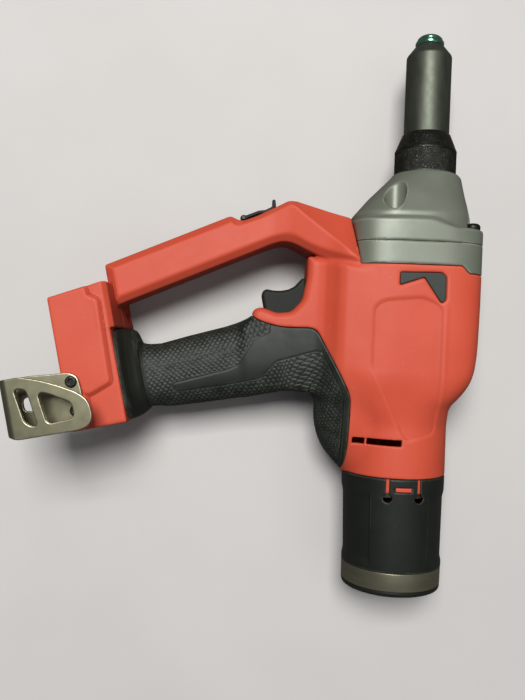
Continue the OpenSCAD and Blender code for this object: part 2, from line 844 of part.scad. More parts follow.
// Board in its tray above the battery channel
tray_t = 7;
chip_h = 4;
chip_w = 14;
module control_board() {
    color("darkgreen") at_foot() {
        translate([channel_h + roof_t, -board_back, -board_half_w])
            cube([tray_t, board_back + board_front, 2 * board_half_w]);
        for (f = [-1, 1]) translate([channel_h + roof_t + tray_t, f * chip_w - chip_w / 2, -chip_w])
            cube([chip_h, chip_w, 2 * chip_w]);
    }
}

// Terminal block on the channel's roof and the blades in it
block_h = 7;
block_half_w = 20;
block_depth = 24;
blade_t = 1;
blade_h = 5;
blade_len = 20;
blade_pitch = 9;
blade_shares = [-1.5, -0.5, 0.5, 1.5];
module terminal_block() {
    color("black") at_foot() difference() {
        translate([channel_h - block_h, -channel_back, -block_half_w])
            cube([block_h, block_depth, 2 * block_half_w]);
        for (share = blade_shares)
            translate([channel_h - block_h - over, -channel_back + over, share * blade_pitch - blade_t])
                cube([blade_h + over, block_depth, 2 * blade_t]);
    }
}
module terminal_blades() {
    color("gold") at_foot() for (share = blade_shares)
        translate([channel_h - block_h, -channel_back + over, share * blade_pitch - blade_t / 2])
            cube([blade_h, blade_len, blade_t]);
}

// Front gearcase: the cone, the flange and the bores of the drive
// Each ring: place, lower and upper reach, half width at the nose, share of the body's half width, power
cone_shares = [[0.88, 1.93, 1.2, 0.97, 1, 3], [0.5, 1.5, 1.08, 0.97, 0.585, 2.4],
    [0.05, 0.9, 0.96, 0.97, 0, 2], [0, 0.86, 0.86, 0.86, 0, 2]];
cone_wide_share = 0.9615;
cone_r = 25;
case_screw_r = 2.5;
case_head_r = 4.6;
case_head_len = 4;
case_screw_len = 24;
case_hole_len = 18.5;
case_groove_r = 7;
// The flange steps back on the upper side, and two screws sit on that ledge
ledge_depth = 6;
ledge_low = 14;
case_screw_shares = [[-0.671, 0.72, 0.3], [-0.671, -0.72, 0.3], [0.8, 0.5, 0], [0.8, -0.5, 0]];
function case_screw_x(p) = p[0] * body_top;
function case_screw_z(p) = p[1] * body_half_w;
function case_screw_y(p) = p[2] > 0 ? y_flange + p[2] * case_head_r : y_flange - ledge_depth;
cavity_r = coarse_module * nut_teeth / 2 + 2 * coarse_module;
idler_room_r = coarse_module * idler_pinion_teeth / 2 + 2 * coarse_module;
race_r = 20;
thrust_r = 19;
jaw_room_r = 12.6;
idler_race_r = 5;
idler_race_len = 6;
shaft_r = 2.5;
function cone_ring(p) = [for (q = section(-p[1] * cone_r, p[2] * cone_r,
        mix(p[3] * cone_r, cone_wide_share * body_half_w, p[4]), p[5], body_points))
    [q[0], y_case - p[0] * cone_len, q[1]]];
function band_ring(y) = [for (q = barrel_section(0, 0)) [q[0], y, q[1]]];
function cone_foot(y) = [for (q = cone_ring(cone_shares[0])) [q[0], y, q[2]]];
module ledge() {
    difference() {
        translate([ledge_low, y_flange - ledge_depth, -reach / 2]) cube(reach);
        loft([cone_foot(y_flange - ledge_depth - over), cone_foot(y_flange + over)]);
    }
}
module gearcase_front() {
    color("gray") difference() {
        union() {
            loft(concat([cone_foot(y_flange - over)], [for (p = cone_shares) cone_ring(p)]));
            difference() {
                intersection() {
                    loft([band_ring(y_seam), band_ring(y_flange)]);
                    case_side(seat_fit);
                }
                ledge();
            }
        }
        bar(y_case + over, casing_seat + over, casing_r + seat_fit);
        bar(y_neck + over, neck_len + 2 * over, jaw_room_r);
        bar(y_thrust, thrust_len + over, thrust_r + seat_fit);
        bar(y_nut, bearing_len + over, race_r + seat_fit);
        bar(y_cavity, reach, cavity_r);
        bar(y_cavity, reach, idler_room_r, idler_x, idler_z);
        bar(y_cavity + idler_race_len, idler_race_len + over, idler_race_r + seat_fit, idler_x, idler_z);
        for (p = case_screw_shares) {
            bar(case_screw_y(p) + reach, reach, p[2] > 0 ? case_groove_r : case_head_r + pass_fit,
                case_screw_x(p), case_screw_z(p));
            bar(case_screw_y(p) + over, reach, case_screw_r + seat_fit, case_screw_x(p), case_screw_z(p));
        }
    }
}

// Rear gearcase: the band in line with the barrel, and the bearing wall that plugs into it
plug_gap = 0.26;
plug_inset = wall + plug_gap;
function plug_ring(y) = [for (q = barrel_section(0, plug_inset)) [q[0], y, q[1]]];
module gearcase_rear() {
    color("gray") difference() {
        union() {
            intersection() {
                loft([band_ring(y_body - step_back), band_ring(y_seam)]);
                case_side(seat_fit);
            }
            intersection() {
                loft([for (y = [y_rear, y_body + over]) plug_ring(y)]);
                translate([-case_end_back, -reach, -reach]) cube(2 * reach);
            }
        }
        bar(y_seam + over, cavity_back + over, cavity_r);
        bar(y_seam + over, cavity_back + over, idler_room_r, idler_x, idler_z);
        bar(y_wall + over, bearing_len + over, race_r + seat_fit);
        bar(y_wall, reach, sleeve_bore_r);
        bar(y_wall, reach, idler_shaft_r + pass_fit, idler_x, idler_z);
        for (p = case_screw_shares)
            bar(y_seam + over, case_hole_len, case_screw_r + seat_fit, case_screw_x(p), case_screw_z(p));
    }
}
module gearcase_screws() {
    color("black") for (p = case_screw_shares) {
        bar(case_screw_y(p), case_screw_len, case_screw_r, case_screw_x(p), case_screw_z(p));
        bar(case_screw_y(p) + case_head_len, case_head_len, case_head_r, case_screw_x(p), case_screw_z(p));
    }
}

// Nosepiece: the head, the shank in the casing and the tip that holds the jaws open
shank_r = 6;
shank_len = 12;
tip_r = 4;
tip_len = 12;
head_lead_share = 0.72;
module nosepiece_profile() {
    rotate_extrude() polygon([[mandrel_r, 0], [head_lead_share * nosepiece_r, 0],
        [nosepiece_r, nosepiece_len / 2], [nosepiece_r, nosepiece_len], [shank_r, nosepiece_len],
        [shank_r, nosepiece_len + shank_len], [tip_r, nosepiece_len + shank_len],
        [tip_r, nosepiece_len + shank_len + tip_len], [mandrel_r, nosepiece_len + shank_len + tip_len]]);
}
module nosepiece() {
    color("darkslategray") rearward(0, 0, 0) nosepiece_profile();
}

casing_tip_r = 9.4;
casing_tip_len = 10;
casing_face = 12;
casing_bore_r = 12.4;
module nose_casing() {
    color("dimgray") rearward(0, y_casing, 0) rotate_extrude() polygon([[shank_r + seat_fit, 0],
        [casing_tip_r, 0], [casing_r, casing_tip_len], [casing_r, y_casing - y_neck],
        [casing_bore_r, y_casing - y_neck],
        [casing_bore_r, casing_face], [shank_r + seat_fit, casing_face]]);
}

collar_lead = 10;
collar_edge = 1;
module nose_collar() {
    color("black") rearward(0, y_collar, 0) rotate_extrude() polygon([[casing_r + seat_fit, 0],
        [casing_r + collar_edge, 0], [collar_r - collar_edge, collar_lead],
        [collar_r, collar_lead + collar_edge], [collar_r, collar_len - collar_edge],
        [collar_r - collar_edge, collar_len], [casing_r + seat_fit, collar_len]]);
}

// Pull head: the jaw case with its cone, the three jaws, their pusher and spring
jaw_bite = 2;
y_jaws = y_casing - casing_face - tip_len + jaw_bite;
jaw_case_r = 11.9;
jaw_case_len = 46;
jaw_mouth_r = 5.2;
jaw_back_r = 9;
jaw_cone_len = 22;
jaw_chamber = 34;
spigot_screw_r = 8;
module jaw_case() {
    color("silver") rearward(0, y_jaws, 0) rotate_extrude() polygon([[jaw_mouth_r, 0],
        [jaw_case_r - collar_edge, 0], [jaw_case_r, collar_edge], [jaw_case_r, jaw_case_len],
        [spigot_screw_r + seat_fit, jaw_case_len], [spigot_screw_r + seat_fit, jaw_chamber],
        [jaw_back_r, jaw_chamber], [jaw_back_r, jaw_cone_len]]);
}
jaw_lead = 3.4;
jaw_end = 20;
jaw_hole_r = 2.4;
jaw_sweep = 112;
function jaw_cone_r(d) = mix(jaw_mouth_r, jaw_back_r, d / jaw_cone_len) - run_fit;
module jaws() {
    color("gray") for (i = [0 : 2]) rearward(0, y_jaws, 0) rotate([0, 0, 120 * i])
        rotate_extrude(angle = jaw_sweep) polygon([[jaw_hole_r + collar_edge, jaw_lead],
            [jaw_cone_r(jaw_lead), jaw_lead], [jaw_cone_r(jaw_end), jaw_end], [jaw_hole_r, jaw_end],
            [jaw_hole_r, jaw_lead + collar_edge]]);
}
pusher_r = 8.4;
pusher_t = 3;
pusher_boss_r = 4.6;
pusher_len = 8;
pusher_bore_r = 2.8;
module jaw_pusher() {
    color("silver") rearward(0, y_jaws - jaw_end - seat_fit, 0) rotate_extrude() polygon([[pusher_bore_r, 0],
        [pusher_r, 0], [pusher_r, pusher_t], [pusher_boss_r, pusher_t], [pusher_boss_r, pusher_len],
        [pusher_bore_r, pusher_len]]);
}
wire_r = 0.8;
coil_r = 6.2;
coil_turns = 4;
coil_steps = 12;
wire_sides = 6;
coil_room = jaw_chamber - jaw_end - pusher_t - 2 * seat_fit;
module jaw_spring() {
    rise = coil_room - 2 * wire_r - 2 * seat_fit;
    echo(least_gap_between_turns = rise / coil_turns - 2 * wire_r);
    color("silver") rearward(0, y_jaws - jaw_end - pusher_t - 2 * seat_fit, 0)
        loft([for (k = [0 : coil_turns * coil_steps]) let (turn = 360 * k / coil_steps)
            [for (s = [0 : wire_sides - 1]) let (a = 360 * s / wire_sides, r = coil_r + wire_r * cos(a))
                [r * cos(turn), r * sin(turn),
                    wire_r + rise * k / (coil_turns * coil_steps) + wire_r * sin(a)]]]);
}

// Hollow pull screw, the pin across it and the rollers that stop it turning
screw_bore_r = 4.8;
screw_end = 9;
pin_r = 2;
roller_r = 3.2;
roller_len = 2.6;
pin_set = 0.5;
y_screw = y_jaws - jaw_chamber;
y_screw_end = y_rear - screw_end;
y_pin = y_rear - screw_end / 2 - pin_r / 2;
module pull_screw() {
    color("silver") difference() {
        rearward(0, y_screw, 0) rotate_extrude() polygon([[screw_bore_r, 0], [spigot_screw_r, 0],
            [spigot_screw_r, jaw_case_len - jaw_chamber], [screw_r, jaw_case_len - jaw_chamber],
            [screw_r, y_screw - y_screw_end], [screw_bore_r, y_screw - y_screw_end]]);
        for (side = [-1, 1]) mirror([0, 0, side > 0 ? 1 : 0]) translate([0, y_pin, -screw_r - over])
            cylinder(h = screw_r - screw_bore_r + over + pass_fit, r = pin_r + seat_fit);
    }
}
module guide_pin() {
    color("dimgray") for (side = [0, 1]) mirror([0, 0, side])
        translate([0, y_pin, screw_bore_r + pass_fit / 2])
        cylinder(h = sleeve_r - pin_set - screw_bore_r - pass_fit / 2, r = pin_r);
}
module guide_rollers() {
    color("silver") for (side = [0, 1]) mirror([0, 0, side])
        translate([0, y_pin, sleeve_r - pin_set - roller_len]) difference() {
            cylinder(h = roller_len, r = roller_r);
            translate([0, 0, -over]) cylinder(h = roller_len + 2 * over, r = pin_r + seat_fit);
        }
}
slot_lead = 0.5;
module guide_sleeve() {
    color("gray") difference() {
        tube(y_rear, sleeve_len, sleeve_r, sleeve_bore_r);
        translate([-roller_r - run_fit, y_pin - stroke - roller_r - slot_lead, -reach])
            cube([2 * (roller_r + run_fit), stroke + 2 * (roller_r + slot_lead), 2 * reach]);
    }
}

// Ball nut, its balls and its gear
nut_r = 15;
nut_seat_r = 16.5;
nut_bore_r = 12;
nut_edge = 1;
ball_r = (nut_bore_r - screw_r) / 2 - run_fit;
ball_count = 24;
ball_turns = 1.45;
ball_lead = 6;
module ball_nut() {
    color("dimgray") rearward(0, y_nut, 0) rotate_extrude() polygon([[nut_bore_r, 0], [nut_r, 0],
        [nut_r, bearing_len + nut_edge], [nut_seat_r, bearing_len + nut_edge],
        [nut_seat_r, y_nut - y_wall - nut_edge], [nut_r, y_nut - y_wall - nut_edge],
        [nut_r, y_nut - y_wall + bearing_len], [nut_bore_r, y_nut - y_wall + bearing_len]]);
}
module nut_balls() {
    color("silver") for (i = [0 : ball_count - 1]) let (turn = 360 * ball_turns * i / ball_count)
        rearward(0, y_gear - ball_lead * turn / 360, 0) rotate([0, 0, turn])
        translate([(nut_bore_r + screw_r) / 2, 0, 0]) sphere(r = ball_r, $fn = 16);
}
module nut_gear() {
    color("gray") rearward(0, y_gear, 0) difference() {
        linear_extrude(height = gear_len)
            gear_outline(nut_teeth, coarse_module, idler_from_nut);
        translate([0, 0, -over]) cylinder(h = gear_len + 2 * over, r = nut_seat_r + seat_fit);
    }
}
module nut_front_bearing() {
    color("silver") bearing(y_nut, bearing_len, race_r, nut_r + run_fit, 0, 0);
}
module nut_rear_bearing() {
    color("silver") bearing(y_wall, bearing_len, race_r, nut_r + run_fit, 0, 0);
}

// Thrust bearing in front of the nut
washer_t = 2.2;
thrust_bore_r = 10;
roller_count = 12;
roller_start_share = 0.17;
roller_len_share = 0.66;
module thrust_washer_front() {
    color("silver") tube(y_thrust, washer_t, thrust_r, thrust_bore_r);
}
module thrust_washer_rear() {
    color("silver") tube(y_nut + washer_t, washer_t, thrust_r - pass_fit, thrust_bore_r);
}
module thrust_rollers() {
    thick = thrust_len - 2 * washer_t;
    span = thrust_r - thrust_bore_r;
    color("dimgray") for (i = [0 : roller_count - 1])
        rearward(0, y_thrust - washer_t - thick / 2, 0) rotate([0, 0, 360 * i / roller_count])
        translate([thrust_bore_r + span * roller_start_share, 0, 0]) rotate([0, 90, 0])
        cylinder(h = span * roller_len_share, r = thick / 2 - seat_fit, $fn = 16);
}

// Intermediate shaft with its pinion, its gear and its bearings
idler_shaft_r = 4;
pinion_lead = 1;
module idler_shaft() {
    color("silver") {
        bar(y_cavity + idler_race_len, y_cavity + idler_race_len - y_gear, shaft_r, idler_x, idler_z);
        rearward(idler_x, y_gear + pinion_lead, idler_z) linear_extrude(height = gear_len + 2 * pinion_lead)
            gear_outline(idler_pinion_teeth, coarse_module, idler_from_nut + 180 + 180 / idler_pinion_teeth);
        bar(y_gear - gear_len, y_gear - gear_len - y_stage, idler_shaft_r, idler_x, idler_z);
        bar(y_stage, y_stage - y_plate + idler_race_len, shaft_r, idler_x, idler_z);
    }
}
module idler_gear() {
    color("gray") rearward(idler_x, y_stage, idler_z) difference() {
        linear_extrude(height = stage_len) gear_outline(idler_teeth, fine_module, motor_from_idler);
        translate([0, 0, -over]) cylinder(h = stage_len + 2 * over, r = shaft_r + seat_fit);
    }
}
module idler_bearings() {
    color("silver") {
        bearing(y_cavity + idler_race_len, idler_race_len, idler_race_r, shaft_r + run_fit, idler_x, idler_z);
        bearing(y_plate, idler_race_len, idler_race_r, shaft_r + run_fit, idler_x, idler_z);
    }
}

// Plate that carries the shafts in front of the motor
plate_lobe_r = 21;
plate_sleeve_r = 19;
module motor_plate() {
    color("lightgray") difference() {
        hull() {
            bar(y_plate, plate_t, plate_lobe_r, -motor_drop);
            bar(y_plate, plate_t, plate_sleeve_r);
        }
        bar(y_plate + over, idler_race_len + over, idler_race_r + seat_fit, idler_x, idler_z);
        bar(y_motor + rear_bearing_len, rear_bearing_len + over, rear_bearing_r + seat_fit, -motor_drop);
        bar(y_plate + over, reach, shaft_r + over, -motor_drop);
        bar(y_plate + over, reach, sleeve_r + seat_fit);
    }
}

// Motor: stator, windings, rotor and fan
stator_bore_r = 11;
rotor_r = 10.5;
winding_bore_r = 12;
fan_share = 0.388;
fan_at = fan_share * barrel_len;
fan_len = 9;
fan_r = 17.5;
fan_hub_r = 6;
fan_blades = 9;
fan_blade_t = 1.2;
fan_disc_t = 1.6;
module motor_stator() {
    color("darkgray") tube(y_motor - stator_front, stator_len, stator_r, stator_bore_r, -motor_drop);
}
module motor_windings() {
    color("peru") {
        tube(y_motor - stator_front + winding_len, winding_len, winding_r, winding_bore_r, -motor_drop);
        tube(y_motor - stator_front - stator_len, winding_len, winding_r, winding_bore_r, -motor_drop);
    }
}
module rotor_shaft() {
    y_pinion = y_stage - stage_len;
    color("silver") {
        rearward(-motor_drop, y_stage + pinion_lead, 0) linear_extrude(height = stage_len + 2 * pinion_lead)
            gear_outline(pinion_teeth, fine_module, motor_from_idler + 180 + 180 / pinion_teeth);
        bar(y_pinion, y_pinion - y_motor + rear_bearing_at + rear_bearing_len, shaft_r, -motor_drop);
    }
}
module rotor_core() {
    color("dimgray") tube(y_motor - stator_front, stator_len, rotor_r, shaft_r + seat_fit, -motor_drop);
}
module motor_fan() {
    color("black") difference() {
        rearward(-motor_drop, y_motor - fan_at, 0) union() {
            cylinder(h = fan_len, r = fan_hub_r);
            translate([0, 0, fan_len - fan_disc_t]) cylinder(h = fan_disc_t, r = fan_r);
            for (i = [0 : fan_blades - 1]) rotate([0, 0, 360 * i / fan_blades])
                translate([fan_hub_r - over, -fan_blade_t / 2, 0])
                cube([fan_r - fan_hub_r, fan_blade_t, fan_len]);
        }
        bar(y_motor - fan_at + over, fan_len + 2 * over, shaft_r + seat_fit, -motor_drop);
    }
}
module motor_bearings() {
    color("silver") {
        for (y = [y_motor + rear_bearing_len, y_motor - rear_bearing_at])
            bearing(y, rear_bearing_len, rear_bearing_r, shaft_r + run_fit, -motor_drop, 0);
    }
}

// Fixed tube that leads spent mandrels from the screw to the container
tube_lead = 22;
tube_tail = 3;
module mandrel_tube() {
    front = y_screw_end + tube_lead;
    color("silver") tube(front, front - y_tail + tube_tail, tube_r, tube_bore_r);
}

// Container: the tapered cup with its springy tongue and window, the metal band and the end cap
container_gap = 0.3;
container_end_r = 33.1;
band_w = 11.8;
cap_len = 3.7;
band_t = 1;
cap_plug = 4;
tongue_half = 10.2;
tongue_len = 12;
tongue_slot = 0.9;
tongue_hole_r = 2.2;
window_w = 10.6;
window_h = 3;
window_at = 5.2;
container_bore_r = container_r - container_wall;
cup_len = container_len - container_gap - cap_len;
module container_body() {
    color("black") difference() {
        rearward(-container_drop, y_tail - container_gap, 0) rotate_extrude() polygon([[container_bore_r, 0],
            [container_r, 0], [container_end_r, cup_len - band_w],
            [container_end_r - band_t, cup_len - band_w], [container_end_r - band_t, cup_len],
            [container_bore_r - band_t, cup_len],
            [container_bore_r - band_t, spigot_len + tail_wall], [container_bore_r, spigot_len + pass_fit]]);
        for (side = [-1, 1]) translate([side * tongue_half - container_drop, y_tail, 0]) {
            translate([-tongue_slot / 2, -tongue_len, spigot_r - container_wall * 2])
                cube([tongue_slot, tongue_len + over, reach]);
            translate([0, -tongue_len, 0]) cylinder(h = reach, r = tongue_hole_r);
        }
        translate([-container_drop - window_w / 2, y_tail - window_at - window_h, 0])
            cube([window_w, window_h, reach]);
    }
}
module container_band() {
    color("gray") tube(y_tail - container_gap - cup_len + band_w, band_w, container_end_r,
        container_end_r - band_t + seat_fit, -container_drop);
}
module container_cap() {
    plug_r = container_bore_r - band_t - seat_fit;
    color("black") rearward(-container_drop, y_end + cap_len, 0) union() {
        cylinder(h = cap_len, r = container_end_r - seat_fit);
        translate([0, 0, -cap_plug]) difference() {
            cylinder(h = cap_plug + over, r = plug_r);
            translate([0, 0, -over]) cylinder(h = cap_plug + over, r = plug_r - container_wall);
        }
    }
}
module container_seal() {
    color("darkslategray") tube(y_tail - seal_at - seat_fit, seal_len - 2 * seat_fit, spigot_r + pass_fit / 2,
        spigot_r - seal_depth + seat_fit, -container_drop);
}

// Belt hook: a U of sheet metal cut to outline, with two slots in its outer leaf
hook_end = -30;
hook_face = body_half_w + run_fit;
leaf_top = hook_face + 2 * hook_t + hook_gap;
leaf_shares = [[-1, 0.03], [-0.9, 0.01], [-0.6, 0.02], [-0.2, 0.14], [0.15, 0.25], [0.48, 0.38], [0.62, 0.52],
    [0.68, 0.68], [0.66, 0.84], [0.56, 0.95], [0.4, 1], [-0.9, 1], [-1, 0.93]];
plate_shares = [[-1, 0.1], [0.12, 0.1], [0.36, 0.22], [0.43, 0.34], [0.43, 0.8], [0.34, 0.92], [-1, 0.92]];
slot_near_shares = [[-0.74, 0.22], [-0.66, 0.17], [-0.53, 0.22], [-0.41, 0.78], [-0.5, 0.83], [-0.64, 0.76]];
slot_far_shares = [[-0.29, 0.34], [-0.22, 0.28], [-0.1, 0.32], [0.32, 0.53], [0.32, 0.8], [-0.16, 0.82],
    [-0.23, 0.76]];
leaf_rise = 30;
leaf_w = 38;
leaf_front = -2.4;
hook_edge = 1.2;
hook_head_r = 3.6;
hook_head_len = 2;
function leaf_point(p) = [p[0] * leaf_rise, leaf_front - p[1] * leaf_w];
module leaf_outline(shares) {
    offset(r = hook_edge) offset(delta = -hook_edge) polygon([for (p = shares) leaf_point(p)]);
}
module belt_hook() {
    bend = hook_gap / 2 + hook_t;
    middle = (hook_face + leaf_top) / 2;
    color("tan") at_foot() difference() {
        intersection() {
            translate([0, reach / 2, 0]) rotate([90, 0, 0]) linear_extrude(height = reach) difference() {
                union() {
                    translate([hook_end + bend, middle]) circle(r = bend);
                    translate([hook_end + bend, hook_face]) square([reach, 2 * bend]);
                }
                translate([hook_end + bend, middle]) circle(r = bend - hook_t);
                translate([hook_end + bend, hook_face + hook_t]) square([reach + over, hook_gap]);
            }
            union() {
                translate([0, 0, middle]) linear_extrude(height = reach) leaf_outline(leaf_shares);
                linear_extrude(height = middle) leaf_outline(plate_shares);
            }
        }
        for (shares = [slot_near_shares, slot_far_shares])
            translate([0, 0, middle]) linear_extrude(height = reach) leaf_outline(shares);
        for (f = [-1, 1]) translate([insert_rise, hook_middle + f * hook_pitch / 2, 0])
            cylinder(h = middle, r = hook_screw_r + pass_fit);
    }
}
module hook_screws() {
    color("black") at_foot() for (f = [-1, 1])
        translate([insert_rise, hook_middle + f * hook_pitch / 2, hook_face - insert_depth]) {
            cylinder(h = insert_depth + hook_t, r = hook_screw_r);
            translate([0, 0, insert_depth + hook_t]) cylinder(h = hook_head_len, r = hook_head_r);
        }
}
module hook_inserts() {
    color("gold") difference() {
        hook_places(0, insert_depth, body_half_w);
        at_foot() for (f = [-1, 1]) translate([insert_rise, hook_middle + f * hook_pitch / 2, -reach / 2])
            cylinder(h = reach, r = hook_screw_r + seat_fit);
    }
}

// Clip over the spare nosepiece, its pin and the spare itself
clip_tab_h = 3;
clip_tab_t = 1.6;
spare_r = 4.6;
spare_len = 15;
module store_clip() {
    color("black") at_strut() difference() {
        union() {
            translate([clip_at, front_v + clip_rise - clip_t, -clip_half_w])
                cube([clip_len, clip_t, 2 * clip_half_w]);
            translate([clip_at, front_v + clip_rise - clip_t / 2 - pass_fit, -clip_half_w])
                cylinder(h = 2 * clip_half_w, r = clip_knuckle_r - pass_fit);
            translate([clip_at + clip_len - clip_tab_t, front_v + clip_rise - over, -clip_half_w])
                cube([clip_tab_t, clip_tab_h + over, 2 * clip_half_w]);
        }
        translate([clip_at, front_v + clip_rise - clip_t / 2 - pass_fit, -clip_half_w - over])
            cylinder(h = 2 * (clip_half_w + over), r = clip_pin_r + run_fit);
    }
}
module clip_pin() {
    color("silver") at_strut()
        translate([clip_at, front_v + clip_rise - clip_t / 2 - pass_fit, -clip_pin_half])
        cylinder(h = 2 * clip_pin_half, r = clip_pin_r);
}
module spare_nosepiece() {
    start = store_at + (store_len - spare_len) / 2;
    color("darkslategray") at_strut()
        translate([start, front_v - store_depth + spare_r + seat_fit, 0]) rotate([0, 90, 0]) difference() {
            cylinder(h = spare_len, r = spare_r);
            translate([0, 0, -over]) cylinder(h = spare_len + 2 * over, r = mandrel_r);
        }
}

left_housing();
right_housing();
left_grip();
right_grip();
housing_screws();
left_vent();
right_vent();
trigger();
trigger_switch();
control_board();
terminal_block();
terminal_blades();
gearcase_front();
gearcase_rear();
gearcase_screws();
nosepiece();
nose_casing();
nose_collar();
jaw_case();
jaws();
jaw_pusher();
jaw_spring();
pull_screw();
guide_pin();
guide_rollers();
guide_sleeve();
ball_nut();
nut_balls();
nut_gear();
nut_front_bearing();
nut_rear_bearing();
thrust_washer_front();
thrust_washer_rear();
thrust_rollers();
idler_shaft();
idler_gear();
idler_bearings();
motor_plate();
motor_stator();
motor_windings();
rotor_shaft();
rotor_core();
motor_fan();
motor_bearings();
mandrel_tube();
container_body();
container_band();
container_cap();
container_seal();
belt_hook();
hook_screws();
hook_inserts();
store_clip();
clip_pin();
spare_nosepiece();
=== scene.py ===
import math
import bpy
import numpy as np
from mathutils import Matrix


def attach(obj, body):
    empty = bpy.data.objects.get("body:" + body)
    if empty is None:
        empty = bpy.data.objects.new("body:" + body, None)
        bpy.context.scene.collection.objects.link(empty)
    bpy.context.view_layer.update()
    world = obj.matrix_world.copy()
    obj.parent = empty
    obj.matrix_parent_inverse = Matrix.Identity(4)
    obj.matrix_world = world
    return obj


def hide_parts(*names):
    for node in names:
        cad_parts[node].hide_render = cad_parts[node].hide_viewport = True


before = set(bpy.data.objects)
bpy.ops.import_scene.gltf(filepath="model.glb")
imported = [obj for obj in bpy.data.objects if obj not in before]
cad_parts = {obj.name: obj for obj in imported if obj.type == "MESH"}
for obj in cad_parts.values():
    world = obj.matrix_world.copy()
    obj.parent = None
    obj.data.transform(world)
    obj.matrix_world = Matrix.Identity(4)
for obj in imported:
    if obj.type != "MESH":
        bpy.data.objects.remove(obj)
for leftOver in ("Cube", "Light", "Camera"):
    if leftOver in bpy.data.objects:
        bpy.data.objects.remove(bpy.data.objects[leftOver])
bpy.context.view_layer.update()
print("stage: frame loaded")

# Lengths are in millimetres until a mesh is made. A form is a field: a function of x, y and z that gives
# about the distance to the form's surface, below zero inside. A mesh is the zero level of such a field.

millimetre = 0.001
perMetre = 1000
diagonal = math.sqrt(2)
farInside = -60  # a field value where nothing is cut


def ease(t):
    # From 0 to 1 with a smooth start and end
    t = np.clip(t, 0, 1)
    return t * t * (3 - 2 * t)


def blendMin(a, b, reach):
    # The lesser of two fields, so both forms joined, with a fillet where they differ by less than reach
    share = np.clip(0.5 + 0.5 * (b - a) / reach, 0, 1)
    return b + (a - b) * share - reach * share * (1 - share)


def blendMax(a, b, reach):
    # The greater of two fields, so what both forms share, with its edge rounded
    return -blendMin(-a, -b, reach)


def softTable(at, places, values, soft):
    # A table read with its corners rounded: each of many places along it takes the weighted mean of its
    # neighbours within twice soft
    dense = np.linspace(places[0] - 3 * soft, places[-1] + 3 * soft, 1200)
    aside = soft * np.linspace(-2, 2, 33)
    weights = np.exp(-(aside / soft) ** 2)
    level = np.interp(dense[:, None] + aside[None, :], places, values) @ (weights / weights.sum())
    return np.interp(at, dense, level)


def tableOf(sizes, name, at):
    # A soft table that a piece's sizes hold: its places, its values and its softness
    return softTable(at, sizes[name + "At"], sizes[name], sizes[name + "Soft"])


def cornered(points, reach, steps=4):
    # Each corner becomes a curve between two points that are reach away from it, or about half a side where
    # that is less
    points = np.asarray(points, float)
    before = np.roll(points, 1, 0) - points
    after = np.roll(points, -1, 0) - points
    longBefore = np.linalg.norm(before, axis=1, keepdims=True)
    longAfter = np.linalg.norm(after, axis=1, keepdims=True)
    near = np.minimum(reach, 0.49 * np.minimum(longBefore, longAfter))
    start = points + before / longBefore * near
    end = points + after / longAfter * near
    t = np.linspace(0, 1, steps)[None, :, None]
    curve = start[:, None] * (1 - t) ** 2 + points[:, None] * 2 * t * (1 - t) + end[:, None] * t ** 2
    return curve.reshape(-1, 2)


def outlineField(x, y, points):
    # Distance to a closed outline, below zero inside it; each side flips the sign where a line from the place
    # cuts it
    points = np.asarray(points, float)
    nearest = None
    inside = None
    for i in range(len(points)):
        (ax, ay), (bx, by) = points[i], points[i - 1]
        ex, ey = bx - ax, by - ay
        wx, wy = x - ax, y - ay
        along = np.clip((wx * ex + wy * ey) / (ex * ex + ey * ey), 0, 1)
        away = (wx - ex * along) ** 2 + (wy - ey * along) ** 2
        under = wy >= 0
        over = y < by
        turned = ex * wy > ey * wx
        flip = (under & over & turned) | (~under & ~over & ~turned)
        nearest = away if nearest is None else np.minimum(nearest, away)
        inside = flip if inside is None else inside ^ flip
    return np.where(inside, -1, 1) * np.sqrt(nearest)


def rectField(x, y, sides):
    # How far a place lies outside the nearest of a rectangle's four sides
    left, right, back, front = sides
    return np.maximum(np.maximum(left - x, x - right), np.maximum(back - y, y - front))


def slabField(flat, high, edge):
    # A flat outline given a height, with all edges rounded
    a = flat + edge
    b = high + edge
    return np.hypot(np.maximum(a, 0), np.maximum(b, 0)) + np.minimum(np.maximum(a, b), 0) - edge


def sectionField(x, z, low, high, half, power):
    # A rounded section: the sum of the two shares, each to the power, is one on the surface
    u = np.abs(x - (low + high) / 2)
    v = np.abs(z)
    size = ((2 * u / (high - low)) ** power + (v / half) ** power) ** (1 / power)
    away = np.maximum(np.hypot(u, v), 1e-3)
    return away - away / np.maximum(size, 1e-5)


def barField(x, y, z, cx, cz, radius, back, front):
    # A round bar along Y
    return np.maximum(np.hypot(x - cx, z - cz) - radius, np.maximum(y - front, back - y))


def pegField(x, y, z, spot, radius, low, high):
    # A round peg along Z
    return np.maximum(np.hypot(x - spot[0], y - spot[1]) - radius, np.maximum(z - high, low - z))


def bored(form, x, y, z, bores):
    # The form with round bores along Y cut from it
    for bore in bores:
        form = np.maximum(form, -barField(x, y, z, *bore))
    return form


splitGap = 0.01


def halfOf(form, outer, z, side, groove):
    # One side of a form that is split at the middle, with a fine groove along the split
    across = side * z
    slope = (outer + groove - across) / diagonal
    return np.maximum(np.maximum(form, slope), splitGap - across)


# The handle and the strut lean, so places on them are given along and across a leaning line
handleLine = {"x": -229, "y": -228, "lean": math.radians(12.5)}
strutLine = {"x": -204, "y": -174.2, "lean": math.radians(23.85)}


def intoLine(line, x, y):
    # A place in X and Y as along the line from its start, and across it
    dx, dy = x - line["x"], y - line["y"]
    cosine, sine = math.cos(line["lean"]), math.sin(line["lean"])
    return dx * cosine + dy * sine, dy * cosine - dx * sine


def outOfLine(line, along, across):
    # The place in X and Y of a point along and across the line
    cosine, sine = math.cos(line["lean"]), math.sin(line["lean"])
    return line["x"] + along * cosine - across * sine, line["y"] + along * sine + across * cosine


